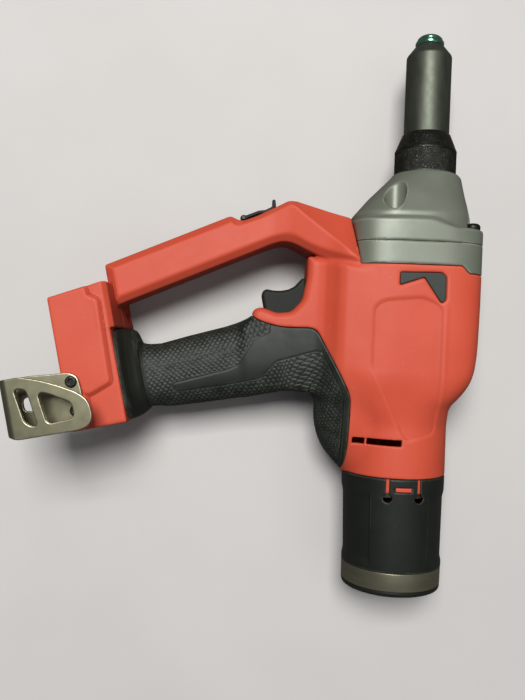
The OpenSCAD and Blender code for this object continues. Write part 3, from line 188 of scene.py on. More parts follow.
def handleFrame(x, y):
    # Height above the foot's underside along the handle, and the place toward the nose across it
    return intoLine(handleLine, x, y)


def strutFrame(x, y):
    return intoLine(strutLine, x, y)


def surfaceNet(values):
    # One point in each cell that the surface passes through, at the middle of its crossings with the cell's
    # edges, and one face for each crossed edge, between the four cells around it
    inside = values < 0
    count = np.zeros(tuple(n - 1 for n in values.shape), np.uint8)
    for i in (0, 1):
        for j in (0, 1):
            for k in (0, 1):
                nx, ny, nz = count.shape
                count += inside[i:nx + i, j:ny + j, k:nz + k]
    mixed = (count > 0) & (count < 8)
    number = np.full(count.shape, -1, np.int64)
    total = int(mixed.sum())
    number[mixed] = np.arange(total)
    sums = np.zeros((total, 3))
    hits = np.zeros(total)
    faces = []
    for axis in range(3):
        first = [slice(None)] * 3
        second = [slice(None)] * 3
        first[axis] = slice(None, -1)
        second[axis] = slice(1, None)
        a = values[tuple(first)]
        b = values[tuple(second)]
        place = np.stack(np.nonzero((a < 0) != (b < 0)), 1)
        low = a[tuple(place.T)]
        high = b[tuple(place.T)]
        point = place.astype(float)
        point[:, axis] += low / (low - high)
        one, two = (axis + 1) % 3, (axis + 2) % 3
        within = ((place[:, one] > 0) & (place[:, two] > 0) & (place[:, one] < values.shape[one] - 1)
                  & (place[:, two] < values.shape[two] - 1))
        place, point, low = place[within], point[within], low[within]
        around = []
        for stepOne, stepTwo in ((-1, -1), (0, -1), (0, 0), (-1, 0)):
            cell = place.copy()
            cell[:, one] += stepOne
            cell[:, two] += stepTwo
            index = number[tuple(cell.T)]
            around.append(index)
            hits += np.bincount(index, minlength=total)
            for k in range(3):
                sums[:, k] += np.bincount(index, point[:, k], minlength=total)
        quads = np.stack(around, 1)
        faces.append(np.where((low < 0)[:, None], quads, quads[:, ::-1]))
    return sums / np.maximum(hits, 1)[:, None], np.concatenate(faces)


def fieldShape(field, box, cell):
    # Points and faces of a field's zero level; the points are then moved onto it along the field's slope
    low, high = box
    before, after = 1.5 * cell, 2 * cell
    axes = [np.arange(low[i] - before, high[i] + after, cell, dtype=np.float32) for i in range(3)]
    grid = (axes[0][:, None, None], axes[1][None, :, None], axes[2][None, None, :])
    values = np.broadcast_to(field(*grid), tuple(len(a) for a in axes))
    points, faces = surfaceNet(np.ascontiguousarray(values, np.float32))
    points = points * cell + np.array([a[0] for a in axes])
    rounds = 3
    step = 0.04
    leastSlope = 0.05
    mostMove = 0.6 * cell
    for _ in range(rounds):
        here = field(*points.T)
        slope = np.stack([field(*(points + step * np.eye(3)[k]).T) - field(*(points - step * np.eye(3)[k]).T)
                          for k in range(3)], 1) / (2 * step)
        move = -slope * (here / np.maximum((slope ** 2).sum(1), leastSlope))[:, None]
        far = np.linalg.norm(move, axis=1, keepdims=True)
        points = points + move * np.minimum(1, mostMove / np.maximum(far, 1e-9))
    return points, faces


def edgeShare(field, points, cell):
    # How sharply the surface bends: above zero on an outer edge, below zero in a corner
    step = 0.9 * cell
    around = sum(field(*(points + s * step * np.eye(3)[k]).T) for k in range(3) for s in (-1, 1))
    return np.clip((around - 6 * field(*points.T)) / step, -1, 1)


def ringShape(profile, turns, centre=(0, 0), bulge=None):
    # A closed profile of radius and place, turned about an axis along Y
    profile = np.asarray(profile, float)
    turn = np.linspace(0, 2 * math.pi, turns, endpoint=False)
    radius = np.repeat(profile[:, :1], turns, 1)
    along = np.repeat(profile[:, 1:], turns, 1)
    angle = np.repeat(turn[None, :], len(profile), 0)
    if bulge is not None:
        radius = radius + bulge(angle, along, radius)
    x = centre[0] + radius * np.sin(angle)
    z = centre[1] + radius * np.cos(angle)
    points = np.stack([x, along, z], 2).reshape(-1, 3)
    rows = np.arange(len(profile))[:, None]
    columns = np.arange(turns)[None, :]
    nextRow = (rows + 1) % len(profile)
    nextColumn = (columns + 1) % turns
    faces = np.stack([rows * turns + columns, rows * turns + nextColumn, nextRow * turns + nextColumn,
                      nextRow * turns + columns], 2).reshape(-1, 4)
    return outward(points, faces)


def outward(points, faces):
    # The faces turned round where the volume that they close comes out below zero
    a, b, c, d = [points[faces[:, k]] for k in range(4)]
    volume = (np.cross(a, b) * c).sum() + (np.cross(a, c) * d).sum()
    return points, faces if volume > 0 else faces[:, ::-1]


def joined(shapes):
    # Several shapes as one list of points and one of faces
    points = np.concatenate([s[0] for s in shapes])
    starts = np.cumsum([0] + [len(s[0]) for s in shapes[:-1]])
    faces = np.concatenate([s[1] + start for s, start in zip(shapes, starts)])
    return points, faces


def linked(name, data):
    made = bpy.data.objects.new(name, data)
    bpy.context.scene.collection.objects.link(made)
    return made


def addPiece(name, shape, material, body, nodes=(), edges=None):
    points, faces = shape
    mesh = bpy.data.meshes.new(name)
    mesh.vertices.add(len(points))
    mesh.vertices.foreach_set("co", np.ascontiguousarray(points * millimetre, np.float32).ravel())
    mesh.loops.add(faces.size)
    mesh.loops.foreach_set("vertex_index", np.ascontiguousarray(faces, np.int32).ravel())
    mesh.polygons.add(len(faces))
    mesh.polygons.foreach_set("loop_start", np.arange(0, faces.size, 4, dtype=np.int32))
    mesh.update(calc_edges=True)
    mesh.polygons.foreach_set("use_smooth", np.ones(len(faces), bool))
    if edges is not None:
        mesh.attributes.new("edge", "FLOAT", "POINT").data.foreach_set("value", edges.astype(np.float32))
    mesh.update()
    piece = linked(name, mesh)
    mesh.materials.append(material)
    if nodes:
        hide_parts(*nodes)
    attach(piece, body)
    return piece


def addForm(name, field, sizes, material, body, nodes=()):
    # A piece from a field, meshed in the box and with the cell that its sizes give
    shape = fieldShape(field, sizes["box"], sizes["cell"])
    edges = edgeShare(field, shape[0], sizes["cell"])
    print("piece", name, len(shape[1]), "faces")
    return addPiece(name, shape, material, body, nodes, edges)


def addHalves(name, field, sizes, material, node):
    # A left and a right piece from a field that takes the side; the sizes' box is the left one's
    (x0, y0, z0), (x1, y1, z1) = sizes["box"]
    for half, side in (("left", 1), ("right", -1)):
        low, high = sorted((side * z0, side * z1))
        own = {"box": ((x0, y0, low), (x1, y1, high)), "cell": sizes["cell"]}
        addForm(half + name, lambda x, y, z: field(x, y, z, side), own, material, "frame",
                [half + "_" + node])


# Materials


class Wire:
    # A node's output that takes part in sums; the shade it belongs to makes the maths nodes
    def __init__(self, shade, socket):
        self.shade = shade
        self.socket = socket

    def maths(self, operation, first, second):
        return self.shade.node("ShaderNodeMath", {"operation": operation}, {0: first, 1: second})

    def __add__(self, other):
        return self.maths("ADD", self, other)

    __radd__ = __add__

    def __mul__(self, other):
        return self.maths("MULTIPLY", self, other)

    __rmul__ = __mul__

    def above(self, low, high):
        return self.shade.node("ShaderNodeMapRange", {"interpolation_type": "SMOOTHSTEP"},
                               {"Value": self, "From Min": low, "From Max": high})


class Shade:
    def __init__(self, name):
        self.material = bpy.data.materials.new(name)
        self.material.use_nodes = True
        self.tree = self.material.node_tree
        self.tree.nodes.clear()

    def node(self, kind, settings=None, sockets=None, output=0):
        made = self.tree.nodes.new(kind)
        for key, value in (settings or {}).items():
            setattr(made, key, value)
        for key, value in (sockets or {}).items():
            if isinstance(value, Wire):
                self.tree.links.new(value.socket, made.inputs[key])
            else:
                made.inputs[key].default_value = value
        return Wire(self, made.outputs[output]) if made.outputs else made

    def mix(self, share, first, second):
        return self.node("ShaderNodeMix", {"data_type": "RGBA"}, {0: share, 6: first, 7: second}, 2)

    def scaled(self, vector, factors):
        return self.node("ShaderNodeVectorMath", {"operation": "MULTIPLY"}, {0: vector, 1: factors})

    def noise(self, vector, size, detail):
        return self.node("ShaderNodeTexNoise", None,
                         {"Vector": vector, "Scale": 1 / size, "Detail": detail, "Roughness": 0.55})


def tint(red, green, blue):
    # A screen colour as linear light
    share = np.array([red, green, blue]) / 255
    linear = np.where(share <= 0.04045, share / 12.92, ((share + 0.055) / 1.055) ** 2.4)
    return (*[float(v) for v in linear], 1.0)


# Outer edges take a lighter colour, for wear and a painted highlight, and corners a darker one, for soil and
# painted shade
finishDefaults = {
    "stretch": (1, 1, 1), "cloudFrom": (0.3, 0.7), "patch": 9, "patchFrom": (0.25, 0.7),
    "wearAndHighlightFrom": (0.1, 0.7), "soilAndShade": 0.35, "soilAndShadeFrom": (0.05, 0.6), "soilAndShadeColour": tint(20, 18, 16),
    "speckEdge": 0.05, "metallic": 0.0, "specular": 0.5, "coat": 0.0, "coatRough": 0.2}


def finish(name, own):
    # A cloudy colour of two tones; outer edges are lighter for wear and a painted highlight, and corners
    # darker for soil and painted shade; with specks, a fine bump and a roughness that changes in patches
    settings = finishDefaults | own
    shade = Shade(name)
    place = shade.node("ShaderNodeTexCoord", None, None, "Object")
    spot = shade.scaled(place, tuple(perMetre * s for s in settings["stretch"]))
    even = shade.scaled(place, (perMetre, perMetre, perMetre))
    cloud = shade.noise(spot, settings["mottle"], detail=3.0).above(*settings["cloudFrom"])
    colour = shade.mix(cloud, settings["base"], settings["second"])
    grainSize, grainHigh = settings["grain"]
    fine = shade.noise(spot, grainSize, detail=2.0)
    patch = shade.noise(even, settings["patch"], detail=4.0)
    smoothest, roughest = settings["rough"]
    rough = smoothest + (roughest - smoothest) * patch
    if "wearAndHighlightColour" in settings:
        edge = shade.node("ShaderNodeAttribute", {"attribute_name": "edge"}, None, "Fac")
        # Outer edges lighter, for wear and a painted highlight
        edgeWearAndHighlight = edge.above(*settings["wearAndHighlightFrom"]) * patch.above(*settings["patchFrom"]) * settings["wearAndHighlightShare"]
        colour = shade.mix(edgeWearAndHighlight, colour, settings["wearAndHighlightColour"])
        # Corners darker, for soil and painted shade
        soilAndShadeMask = (edge * -1).above(*settings["soilAndShadeFrom"]) * settings["soilAndShade"]
        colour = shade.mix(soilAndShadeMask, colour, settings["soilAndShadeColour"])
    if "speck" in settings:
        size, speckFrom, share, speckColour = settings["speck"]
        specks = shade.noise(even, size, detail=1.0).above(speckFrom, speckFrom + settings["speckEdge"])
        colour = shade.mix(specks * share, colour, speckColour)
    if "bounce" in settings:
        # Only what the camera looks at has the finish's own colour; the light it throws back has this one
        seen = sum(shade.node("ShaderNodeLightPath", None, None, ray)
                   for ray in ("Is Camera Ray", "Is Transmission Ray"))
        colour = shade.mix(seen, settings["bounce"], colour)
    bump = shade.node("ShaderNodeBump", None, {
        "Strength": settings["bump"], "Distance": grainHigh * millimetre, "Height": fine})
    surface = shade.node("ShaderNodeBsdfPrincipled", None, {
        "Base Color": colour, "Roughness": rough, "Metallic": settings["metallic"], "Normal": bump,
        "Specular IOR Level": settings["specular"], "Coat Weight": settings["coat"],
        "Coat Roughness": settings["coatRough"]})
    shade.node("ShaderNodeOutputMaterial", None, {"Surface": surface})
    return shade.material


# Each finish's lighter edge colour is wear and a painted highlight; its darker corner colour is soil and
# painted shade
redPlastic = finish("red_plastic", {
    "base": tint(203, 79, 55), "second": tint(208, 84, 60), "mottle": 40, "grain": (0.5, 0.05), "bump": 0.35,
    "rough": (0.46, 0.6), "specular": 0.3, "patch": 14, "wearAndHighlightColour": tint(226, 104, 84), "wearAndHighlightShare": 0.45, "soilAndShade": 0.4,
    "soilAndShadeColour": tint(96, 22, 14), "speck": (1.7, 0.73, 0.25, tint(228, 128, 110))})
gripRubber = finish("grip_rubber", {
    "base": tint(24, 28, 21), "second": tint(31, 35, 27), "mottle": 18, "grain": (0.35, 0.04), "bump": 0.4,
    "rough": (0.46, 0.62), "specular": 0.42, "patch": 7, "wearAndHighlightColour": tint(88, 94, 84), "wearAndHighlightShare": 0.6, "soilAndShade": 0.6,
    "soilAndShadeColour": tint(12, 13, 12), "speck": (0.9, 0.74, 0.3, tint(96, 98, 90))})
casePaint = finish("case_paint", {
    "base": tint(114, 120, 106), "second": tint(121, 126, 112), "mottle": 26, "grain": (0.8, 0.05),
    "bump": 0.3, "rough": (0.38, 0.5), "patch": 10, "metallic": 0.25, "wearAndHighlightColour": tint(176, 180, 168),
    "wearAndHighlightShare": 0.5, "soilAndShade": 0.45, "soilAndShadeColour": tint(40, 42, 36),
    "speck": (0.5, 0.7, 0.35, tint(150, 155, 140))})
triggerPlastic = finish("trigger_plastic", {
    "base": tint(28, 31, 26), "second": tint(33, 36, 30), "mottle": 12, "grain": (0.4, 0.03), "bump": 0.3,
    "rough": (0.52, 0.64), "specular": 0.2, "patch": 6, "wearAndHighlightColour": tint(64, 68, 62), "wearAndHighlightShare": 0.4})
blackPlastic = finish("black_plastic", {
    "base": tint(24, 27, 22), "second": tint(28, 31, 26), "mottle": 20, "grain": (0.45, 0.04), "bump": 0.35,
    "rough": (0.4, 0.54), "specular": 0.3, "patch": 8, "wearAndHighlightColour": tint(70, 74, 66), "wearAndHighlightShare": 0.5, "soilAndShade": 0.3,
    "speck": (0.8, 0.74, 0.3, tint(104, 106, 96))})
clipPlastic = finish("clip_plastic", {
    "base": tint(15, 16, 14), "second": tint(19, 20, 17), "mottle": 8, "grain": (0.4, 0.03), "bump": 0.3,
    "rough": (0.5, 0.62), "specular": 0.25})
darkPlastic = finish("dark_plastic", {
    "base": tint(44, 50, 45), "second": tint(50, 55, 49), "mottle": 14, "grain": (0.4, 0.04), "bump": 0.35,
    "rough": (0.42, 0.55), "specular": 0.3, "wearAndHighlightColour": tint(88, 92, 84), "wearAndHighlightShare": 0.4})
bluedSteel = finish("blued_steel", {
    "base": tint(85, 89, 78), "second": tint(98, 101, 90), "mottle": 6, "stretch": (1, 0.25, 1),
    "grain": (0.25, 0.02), "bump": 0.25, "rough": (0.44, 0.58), "patch": 5, "metallic": 0.9,
    "speck": (0.6, 0.72, 0.35, tint(128, 128, 118))})
blackSteel = finish("black_steel", {
    "base": tint(36, 37, 32), "second": tint(46, 47, 41), "mottle": 4, "grain": (0.25, 0.02), "bump": 0.3,
    "rough": (0.36, 0.5), "patch": 4, "metallic": 0.8, "wearAndHighlightColour": tint(196, 194, 186), "wearAndHighlightShare": 0.4,
    "wearAndHighlightFrom": (0.35, 0.95), "speck": (0.55, 0.68, 0.7, tint(186, 184, 176))})
greenSteel = finish("green_steel", {
    "base": tint(98, 144, 124), "second": tint(110, 156, 136), "mottle": 4, "grain": (0.3, 0.01), "bump": 0.2,
    "rough": (0.16, 0.26), "patch": 3, "metallic": 0.9, "coat": 0.3, "coatRough": 0.15})
brightSteel = finish("bright_steel", {
    "base": tint(176, 176, 172), "second": tint(188, 188, 184), "mottle": 5, "stretch": (1, 0.3, 1),
    "grain": (0.2, 0.02), "bump": 0.25, "rough": (0.22, 0.36), "metallic": 1.0})
gearSteel = finish("gear_steel", {
    "base": tint(132, 132, 130), "second": tint(148, 148, 144), "mottle": 4, "grain": (0.2, 0.02),
    "bump": 0.25, "rough": (0.3, 0.45), "metallic": 1.0})
castMetal = finish("cast_metal", {
    "base": tint(150, 152, 150), "second": tint(162, 164, 162), "mottle": 8, "grain": (0.6, 0.06),
    "bump": 0.5, "rough": (0.45, 0.6), "metallic": 0.9})
copperWire = finish("copper", {
    "base": tint(176, 96, 54), "second": tint(196, 112, 66), "mottle": 2, "stretch": (1, 6, 1),
    "grain": (0.3, 0.05), "bump": 0.5, "rough": (0.25, 0.4), "metallic": 1.0})
brassMetal = finish("brass", {
    "base": tint(186, 150, 84), "second": tint(200, 166, 100), "mottle": 3, "grain": (0.25, 0.02),
    "bump": 0.3, "rough": (0.22, 0.36), "metallic": 1.0})
boardCoat = finish("board", {
    "base": tint(24, 66, 40), "second": tint(30, 78, 48), "mottle": 5, "grain": (0.3, 0.03), "bump": 0.3,
    "rough": (0.35, 0.5)})
bandMetal = finish("band_metal", {
    "base": tint(108, 106, 88), "second": tint(118, 116, 97), "mottle": 10, "stretch": (0.3, 2, 0.3),
    "grain": (0.3, 0.02), "bump": 0.3, "rough": (0.34, 0.46), "patch": 8, "metallic": 0.7,
    "speck": (0.7, 0.73, 0.3, tint(160, 158, 140))})
hookMetal = finish("hook_metal", {
    "base": tint(143, 139, 114), "second": tint(147, 143, 117), "mottle": 16, "grain": (0.22, 0.02),
    "bump": 0.3, "rough": (0.28, 0.42), "patch": 6, "metallic": 0.95, "wearAndHighlightColour": tint(226, 222, 204),
    "wearAndHighlightShare": 0.5})
print("stage: materials made")

# Housing; left and right are along X, as the photo shows them, and half is the half width along Z

barrelSizes = {
    "rightAt": [-300, -255, -249, -246.2, -244, -240, -233.5, -228, -221, -213, -204.3, -181, -157, -100],
    "right": [20.2, 19.9, 19.6, 19.9, 21.2, 24.6, 28.8, 31.2, 33, 33.9, 34.4, 34.9, 35, 35], "rightSoft": 2.5,
    "left": -50, "leftRise": 2.4, "half": 39, "halfDrop": 4.8, "power": 4.2, "powerDrop": 2.2,
    "front": -157, "length": 134, "roundFrom": 0.5, "roundOver": 0.28, "tail": -291, "tailRound": 1.2,
    "cut": -148}


def barrelField(x, y, z):
    # A boxy section in front, which turns narrower and round to the rear
    share = (barrelSizes["front"] - y) / barrelSizes["length"]
    t = ease((share - barrelSizes["roundFrom"]) / barrelSizes["roundOver"])
    right = tableOf(barrelSizes, "right", y)
    left = barrelSizes["left"] + barrelSizes["leftRise"] * t
    half = barrelSizes["half"] - barrelSizes["halfDrop"] * t
    return sectionField(x, z, left, right, half, barrelSizes["power"] - barrelSizes["powerDrop"] * t)


neckSizes = {
    "outline": cornered([(-77, -152), (-77, -166.2), (-79.7, -181), (-86.5, -188.5), (-95.6, -189.5),
                         (-105.8, -185.9), (-110.7, -187.6), (-112.3, -193), (-119, -199), (-116, -244),
                         (-90.3, -239.5), (-70, -241), (-53, -246), (-50, -290), (-32, -290),
                         (-32, -160)], reach=2.6),
    "dropAt": [-292, -286, -280, -270, -262, -250, -237, -224, -210],
    "drop": [36, 27, 21, 14.5, 12, 8.4, 3.6, 0.6, 0], "dropSoft": 4,
    "halfAt": [-119, -76, -70, -65, -61, -57, -53, -48, -44, -39, -34, -29],
    "half": [18.6, 22.3, 23.2, 25, 28.5, 32.8, 35, 35.8, 35.8, 34.6, 32, 28], "halfSoft": 1.5,
    "thinnest": 1, "sideSlope": 0.86, "edge": 4.5}


def neckField(x, y, z):
    # A flat outline whose half width follows X and drops to the rear
    flat = outlineField(x, y, neckSizes["outline"])
    half = tableOf(neckSizes, "half", x) - tableOf(neckSizes, "drop", y)
    side = np.abs(z) - np.maximum(half, neckSizes["thinnest"])
    return slabField(flat, side * neckSizes["sideSlope"], neckSizes["edge"])


gripSizes = {
    "at": [30, 34.6, 36.4, 38.2, 41.5, 44.4, 45.6, 47.5, 52, 59.7, 79.7, 103.8, 122.7, 138.5],
    "front": [17.2, 17.1, 17, 16.8, 16.2, 14.6, 8.2, 5.6, 4.2, 3.3, 5.1, 6.7, 9.2, 11.5],
    "back": [-42, -42.2, -42.3, -41.8, -40.2, -38.6, -37, -37.1, -37.8, -39.5, -40.8, -41.8, -41.5, -41.4],
    "half": [35.7, 35.2, 31.4, 27.4, 23.7, 21.9, 20.3, 18.9, 18.4, 17.9, 17.9, 18.5, 19, 19.4], "soft": 1,
    "powerAt": [30, 36, 39, 46, 60], "power": [6, 5.4, 4, 2.8, 2.5], "top": 139, "topRound": 4,
    "thick": 2.5, "barrelGap": 0.25, "groove": 0.6, "box": ((-206, -291, 0), (-44, -188, 36)), "cell": 0.585}


def gripCore(x, y, z):
    # A rounded section across the handle, with its front, back, half width and power from tables
    h, f = handleFrame(x, y)
    front, back, half = [softTable(h, gripSizes["at"], gripSizes[key], gripSizes["soft"])
                         for key in ("front", "back", "half")]
    power = np.interp(h, gripSizes["powerAt"], gripSizes["power"])
    return blendMax(sectionField(f, z, back, front, half, power), h - gripSizes["top"], gripSizes["topRound"])


bellSizes = {"x": -42, "front": -182, "frontRound": 6, "radius": 26.4, "turn": -252, "end": 37}


def bellField(x, y, z):
    # A round bar along Y with half an egg at its rear end
    away = np.hypot(x - bellSizes["x"], z)
    past = np.maximum(bellSizes["turn"] - y, 0)
    radius, end = bellSizes["radius"], bellSizes["end"]
    share = np.maximum(np.sqrt((away / radius) ** 2 + (past / end) ** 2), 1e-3)
    slope = np.sqrt((away / radius ** 2) ** 2 + (past / end ** 2) ** 2) / share
    return blendMax((share - 1) / np.maximum(slope, 1e-3), y - bellSizes["front"], bellSizes["frontRound"])


joinSizes = {"grip": 5, "bell": 7, "neck": 6, "strut": 3.5, "foot": 1}  # fillets between the housing's forms


def handleField(x, y, z):
    # The neck, the grip and the bell, joined with fillets
    handle = blendMin(neckField(x, y, z), gripCore(x, y, z), joinSizes["grip"])
    return blendMin(handle, bellField(x, y, z), joinSizes["bell"])


seamSizes = {
    "outline": cornered([(-122, -180), (-110, -193.5), (-100, -197), (-90.5, -198.6), (-70, -198.3),
                         (-47, -241), (-47.3, -302), (-262, -302), (-262, -180)], reach=5),
    "foot": 34.3, "gap": 0.15, "round": 0.9}


def seamField(x, y):
    # Where the soft grip covers the handle
    h, f = handleFrame(x, y)
    return np.maximum(outlineField(x, y, seamSizes["outline"]), seamSizes["foot"] - h)


strutSizes = {
    "frontAt": [-30, 88.5, 92.5, 95.5, 104, 127, 131.5, 157, 162, 185],
    "front": [13.4, 12.9, 8.4, 6.7, 6.4, 7.3, 5.5, -15.3, -19, -35], "frontSoft": 1.2,
    "backAt": [-30, 108, 115, 120, 127.5, 141, 170],
    "back": [-14.6, -14.6, -15.6, -19, -30, -42, -66], "backSoft": 5,
    "halfAt": [-260, -112, -100, -90, -80, -70, -65, -61, -57, -53, -48, -44, -38, -30],
    "half": [15.5, 15.5, 16.6, 19.2, 23, 26.8, 28.6, 30.4, 32.8, 35, 35.8, 35.8, 34.6, 31], "halfSoft": 3,
    "bevelAt": [-30, 88, 95, 128, 155, 170], "bevelWide": [5.2, 5.2, 3.4, 3.8, 29, 42],
    "bevelDeep": [6, 6, 5, 5, 19, 26], "bevelSoft": 1, "bevelRound": 0.6, "cornerRound": 1, "sideRound": 0.8,
    "backBevel": 4.5, "backRound": 0.8, "root": 36.5, "rootBevel": 2.6, "end": 33, "endRound": 1.5,
    "right": -30}


def strutField(x, y, z):
    # Front, back and side faces from tables, then the bevels where they meet
    size = strutSizes
    along, across = strutFrame(x, y)
    h, f = handleFrame(x, y)
    front = tableOf(size, "front", along)
    frontSlope = tableOf(size, "front", along + 1) - front
    back = tableOf(size, "back", along)
    backSlope = tableOf(size, "back", along + 1) - back
    ahead = (across - front) / np.sqrt(1 + frontSlope ** 2)
    behind = (back - across) / np.sqrt(1 + backSlope ** 2)
    side = np.abs(z) - tableOf(size, "half", x)
    form = blendMax(blendMax(ahead, behind, size["cornerRound"]), side, size["sideRound"])
    wide = softTable(along, size["bevelAt"], size["bevelWide"], size["bevelSoft"])
    deep = softTable(along, size["bevelAt"], size["bevelDeep"], size["bevelSoft"])
    bevel = (ahead * deep + (side + deep) * wide) / np.hypot(deep, wide)
    form = blendMax(form, bevel, size["bevelRound"])
    form = blendMax(form, (behind + side + size["backBevel"]) / diagonal, size["backRound"])
    form = blendMax(form, (size["root"] - h + side + size["rootBevel"]) / diagonal, size["bevelRound"])
    form = blendMax(form, size["end"] - h, size["endRound"])
    return np.maximum(form, x - size["right"])


footSizes = {
    "back": -42.4, "frontAt": [0, 34.5], "front": [42.2, 46.6], "high": 34.5, "half": 36.4, "face": 39,
    "ramp": 2.3, "rampSlope": 0.78, "corner": 1.8, "edge": 1,
    "lip": (17.4, 37, 34.1), "lipDeep": 9, "lipRound": 0.5, "lipJoin": 0.4,
    "panel": cornered([(-8, 60), (22, 60), (24, 39), (29.9, 35.2), (28.6, -15.4), (14.7, -20.6),
                       (11.4, -18.6), (10.6, -11), (5.4, -6.4), (-8, -6.4)], reach=1.4),
    "pad": cornered([(-8, -7.9), (4.8, -7.9), (9.7, -12.9), (10.3, -18.9), (12.4, -22.4), (12.4, -60),
                     (-8, -60)], reach=1.5)}


def footField(x, y, z):
    # A block with two plates raised on its sides, and a sloped lip toward the strut
    size = footSizes
    h, f = handleFrame(x, y)
    wide = np.abs(z)
    front = np.interp(h, size["frontAt"], size["front"])
    across = np.abs(f - (front + size["back"]) / 2) - (front - size["back"]) / 2
    plates = np.minimum(outlineField(h, f, size["panel"]), outlineField(h, f, size["pad"]))
    rise = np.clip(1 - plates / size["ramp"], 0, 1)
    side = wide - size["half"] - (size["face"] - size["half"]) * rise
    side = side * np.where((rise > 0) & (rise < 1), size["rampSlope"], 1)
    flat = slabField(across, side, size["corner"])
    form = slabField(flat, np.abs(h - size["high"] / 2) - size["high"] / 2, size["edge"])
    start, high, edge = size["lip"]
    lip = np.maximum(np.maximum(across, start - f), np.maximum(h - high, high - size["lipDeep"] - h))
    slope = (h - edge + wide - size["half"]) / diagonal
    lip = blendMax(blendMax(lip, slope, size["lipRound"]), side, size["lipRound"])
    return blendMin(form, lip, size["lipJoin"])


slideSizes = {"mouth": (26, -2, 4), "room": (30.5, 3.5, 12), "end": -36}


def slideField(x, y, z):
    # The battery's slide under the foot: a mouth and a wider room, each with its half width, start and end
    h, f = handleFrame(x, y)
    mouth, room = [np.maximum(np.maximum(np.abs(z) - half, h - end), start - h)
                   for half, start, end in (slideSizes["mouth"], slideSizes["room"])]
    return np.maximum(np.minimum(mouth, room), slideSizes["end"] - f)


caseSeam = {  # where the gearcase meets the housing
    "outline": [(-49.6, 60), (-49.6, -124), (-44.6, -157.2), (17.7, -157), (22.6, -161.4), (160, -161.4),
                (160, 60)],
    "gap": 0.2, "round": 0.8}
panelSizes = {  # the shallow panel on the barrel's side
    "outline": cornered([(-36, -184), (-30, -179.5), (-6, -176.8), (6.5, -182), (6.5, -262), (-12.5, -267.5),
                         (-15.5, -263), (-36, -221)], reach=4),
    "depth": 0.8, "ramp": 2.6}
crestSizes = {"x": 8.6, "high": 0.35, "wide": 1.5, "back": (-258, 14), "front": (-178, 8)}
ventSizes = {
    "outline": cornered([(-20.7, -162.2), (5.3, -161.6), (8.2, -164.3), (8.2, -178.9), (5.3, -180.8),
                         (-5.7, -165.1), (-20.7, -170.4)], reach=1.2),
    "floor": 36.6, "gap": 0.1, "flareFrom": 38.1, "flare": 2, "round": 0.5,
    "slot": (-44.6, -14.7, -270.8, -266.7), "slotFloor": 11, "rib": (-36.2, 0.6, 31)}
triggerRoom = {
    "sides": (130.4, 162.2, -3.4, 33), "half": 8.9, "edge": 1, "pegAt": 138, "peg": 2.9, "pegEnd": -20}


def triggerRoomField(x, y, z):
    # A rounded box, and a round hole along the handle's depth for the trigger's peg
    h, f = handleFrame(x, y)
    flat = rectField(h, f, triggerRoom["sides"])
    box = slabField(flat, np.abs(z) - triggerRoom["half"], triggerRoom["edge"])
    peg = np.hypot(h - triggerRoom["pegAt"], z) - triggerRoom["peg"]
    return np.minimum(box, np.maximum(peg, np.maximum(triggerRoom["pegEnd"] - f, f)))


storeSizes = {"ends": (93.4, 121.4), "half": 7.3, "floor": 6.2, "deepHalf": 5.5, "deepFloor": -2.4}


def storeField(x, y, z):
    # The pocket in the strut for the spare nosepiece, deeper in its middle
    along, across = strutFrame(x, y)
    wide = np.abs(z)
    start, end = storeSizes["ends"]
    low = np.where(wide < storeSizes["deepHalf"], storeSizes["deepFloor"], storeSizes["floor"])
    ends = np.maximum(start - along, along - end)
    return np.maximum(np.maximum(ends, low - across), wide - storeSizes["half"])


def crestRise(x, y):
    # A faint ridge along the panel's right edge, which fades out at both ends
    back, backFade = crestSizes["back"]
    front, frontFade = crestSizes["front"]
    ridge = crestSizes["high"] * np.exp(-((x - crestSizes["x"]) / crestSizes["wide"]) ** 2)
    return ridge * ease((y - back) / backFade) * ease((front - y) / frontFade)


def bodyField(x, y, z):
    # The red moulding, both halves in one, with its wells cut
    wide = np.abs(z)
    barrel = blendMax(barrelField(x, y, z), barrelSizes["tail"] - y, barrelSizes["tailRound"])
    barrel = np.maximum(barrel, y - barrelSizes["cut"])
    neck = blendMin(neckField(x, y, z), bellField(x, y, z), joinSizes["bell"])
    neck = blendMax(neck, seamSizes["gap"] - seamField(x, y), seamSizes["round"])
    form = blendMin(barrel, neck, joinSizes["neck"])
    form = blendMin(form, strutField(x, y, z), joinSizes["strut"])
    form = blendMin(form, footField(x, y, z), joinSizes["foot"])
    ramp = panelSizes["ramp"]
    panel = outlineField(x, y, panelSizes["outline"])
    form = form + panelSizes["depth"] * ease((ramp / 2 - panel) / ramp)
    form = form - crestRise(x, y)
    flare = np.clip(wide - ventSizes["flareFrom"], 0, ventSizes["flare"])
    vent = outlineField(x, y, ventSizes["outline"]) - ventSizes["gap"] - flare
    form = blendMax(form, -np.maximum(vent, ventSizes["floor"] - wide), ventSizes["round"])
    form = blendMax(form, caseSeam["gap"] - outlineField(x, y, caseSeam["outline"]), caseSeam["round"])
    form = np.maximum(form, -slideField(x, y, z))
    return np.maximum(form, -storeField(x, y, z))


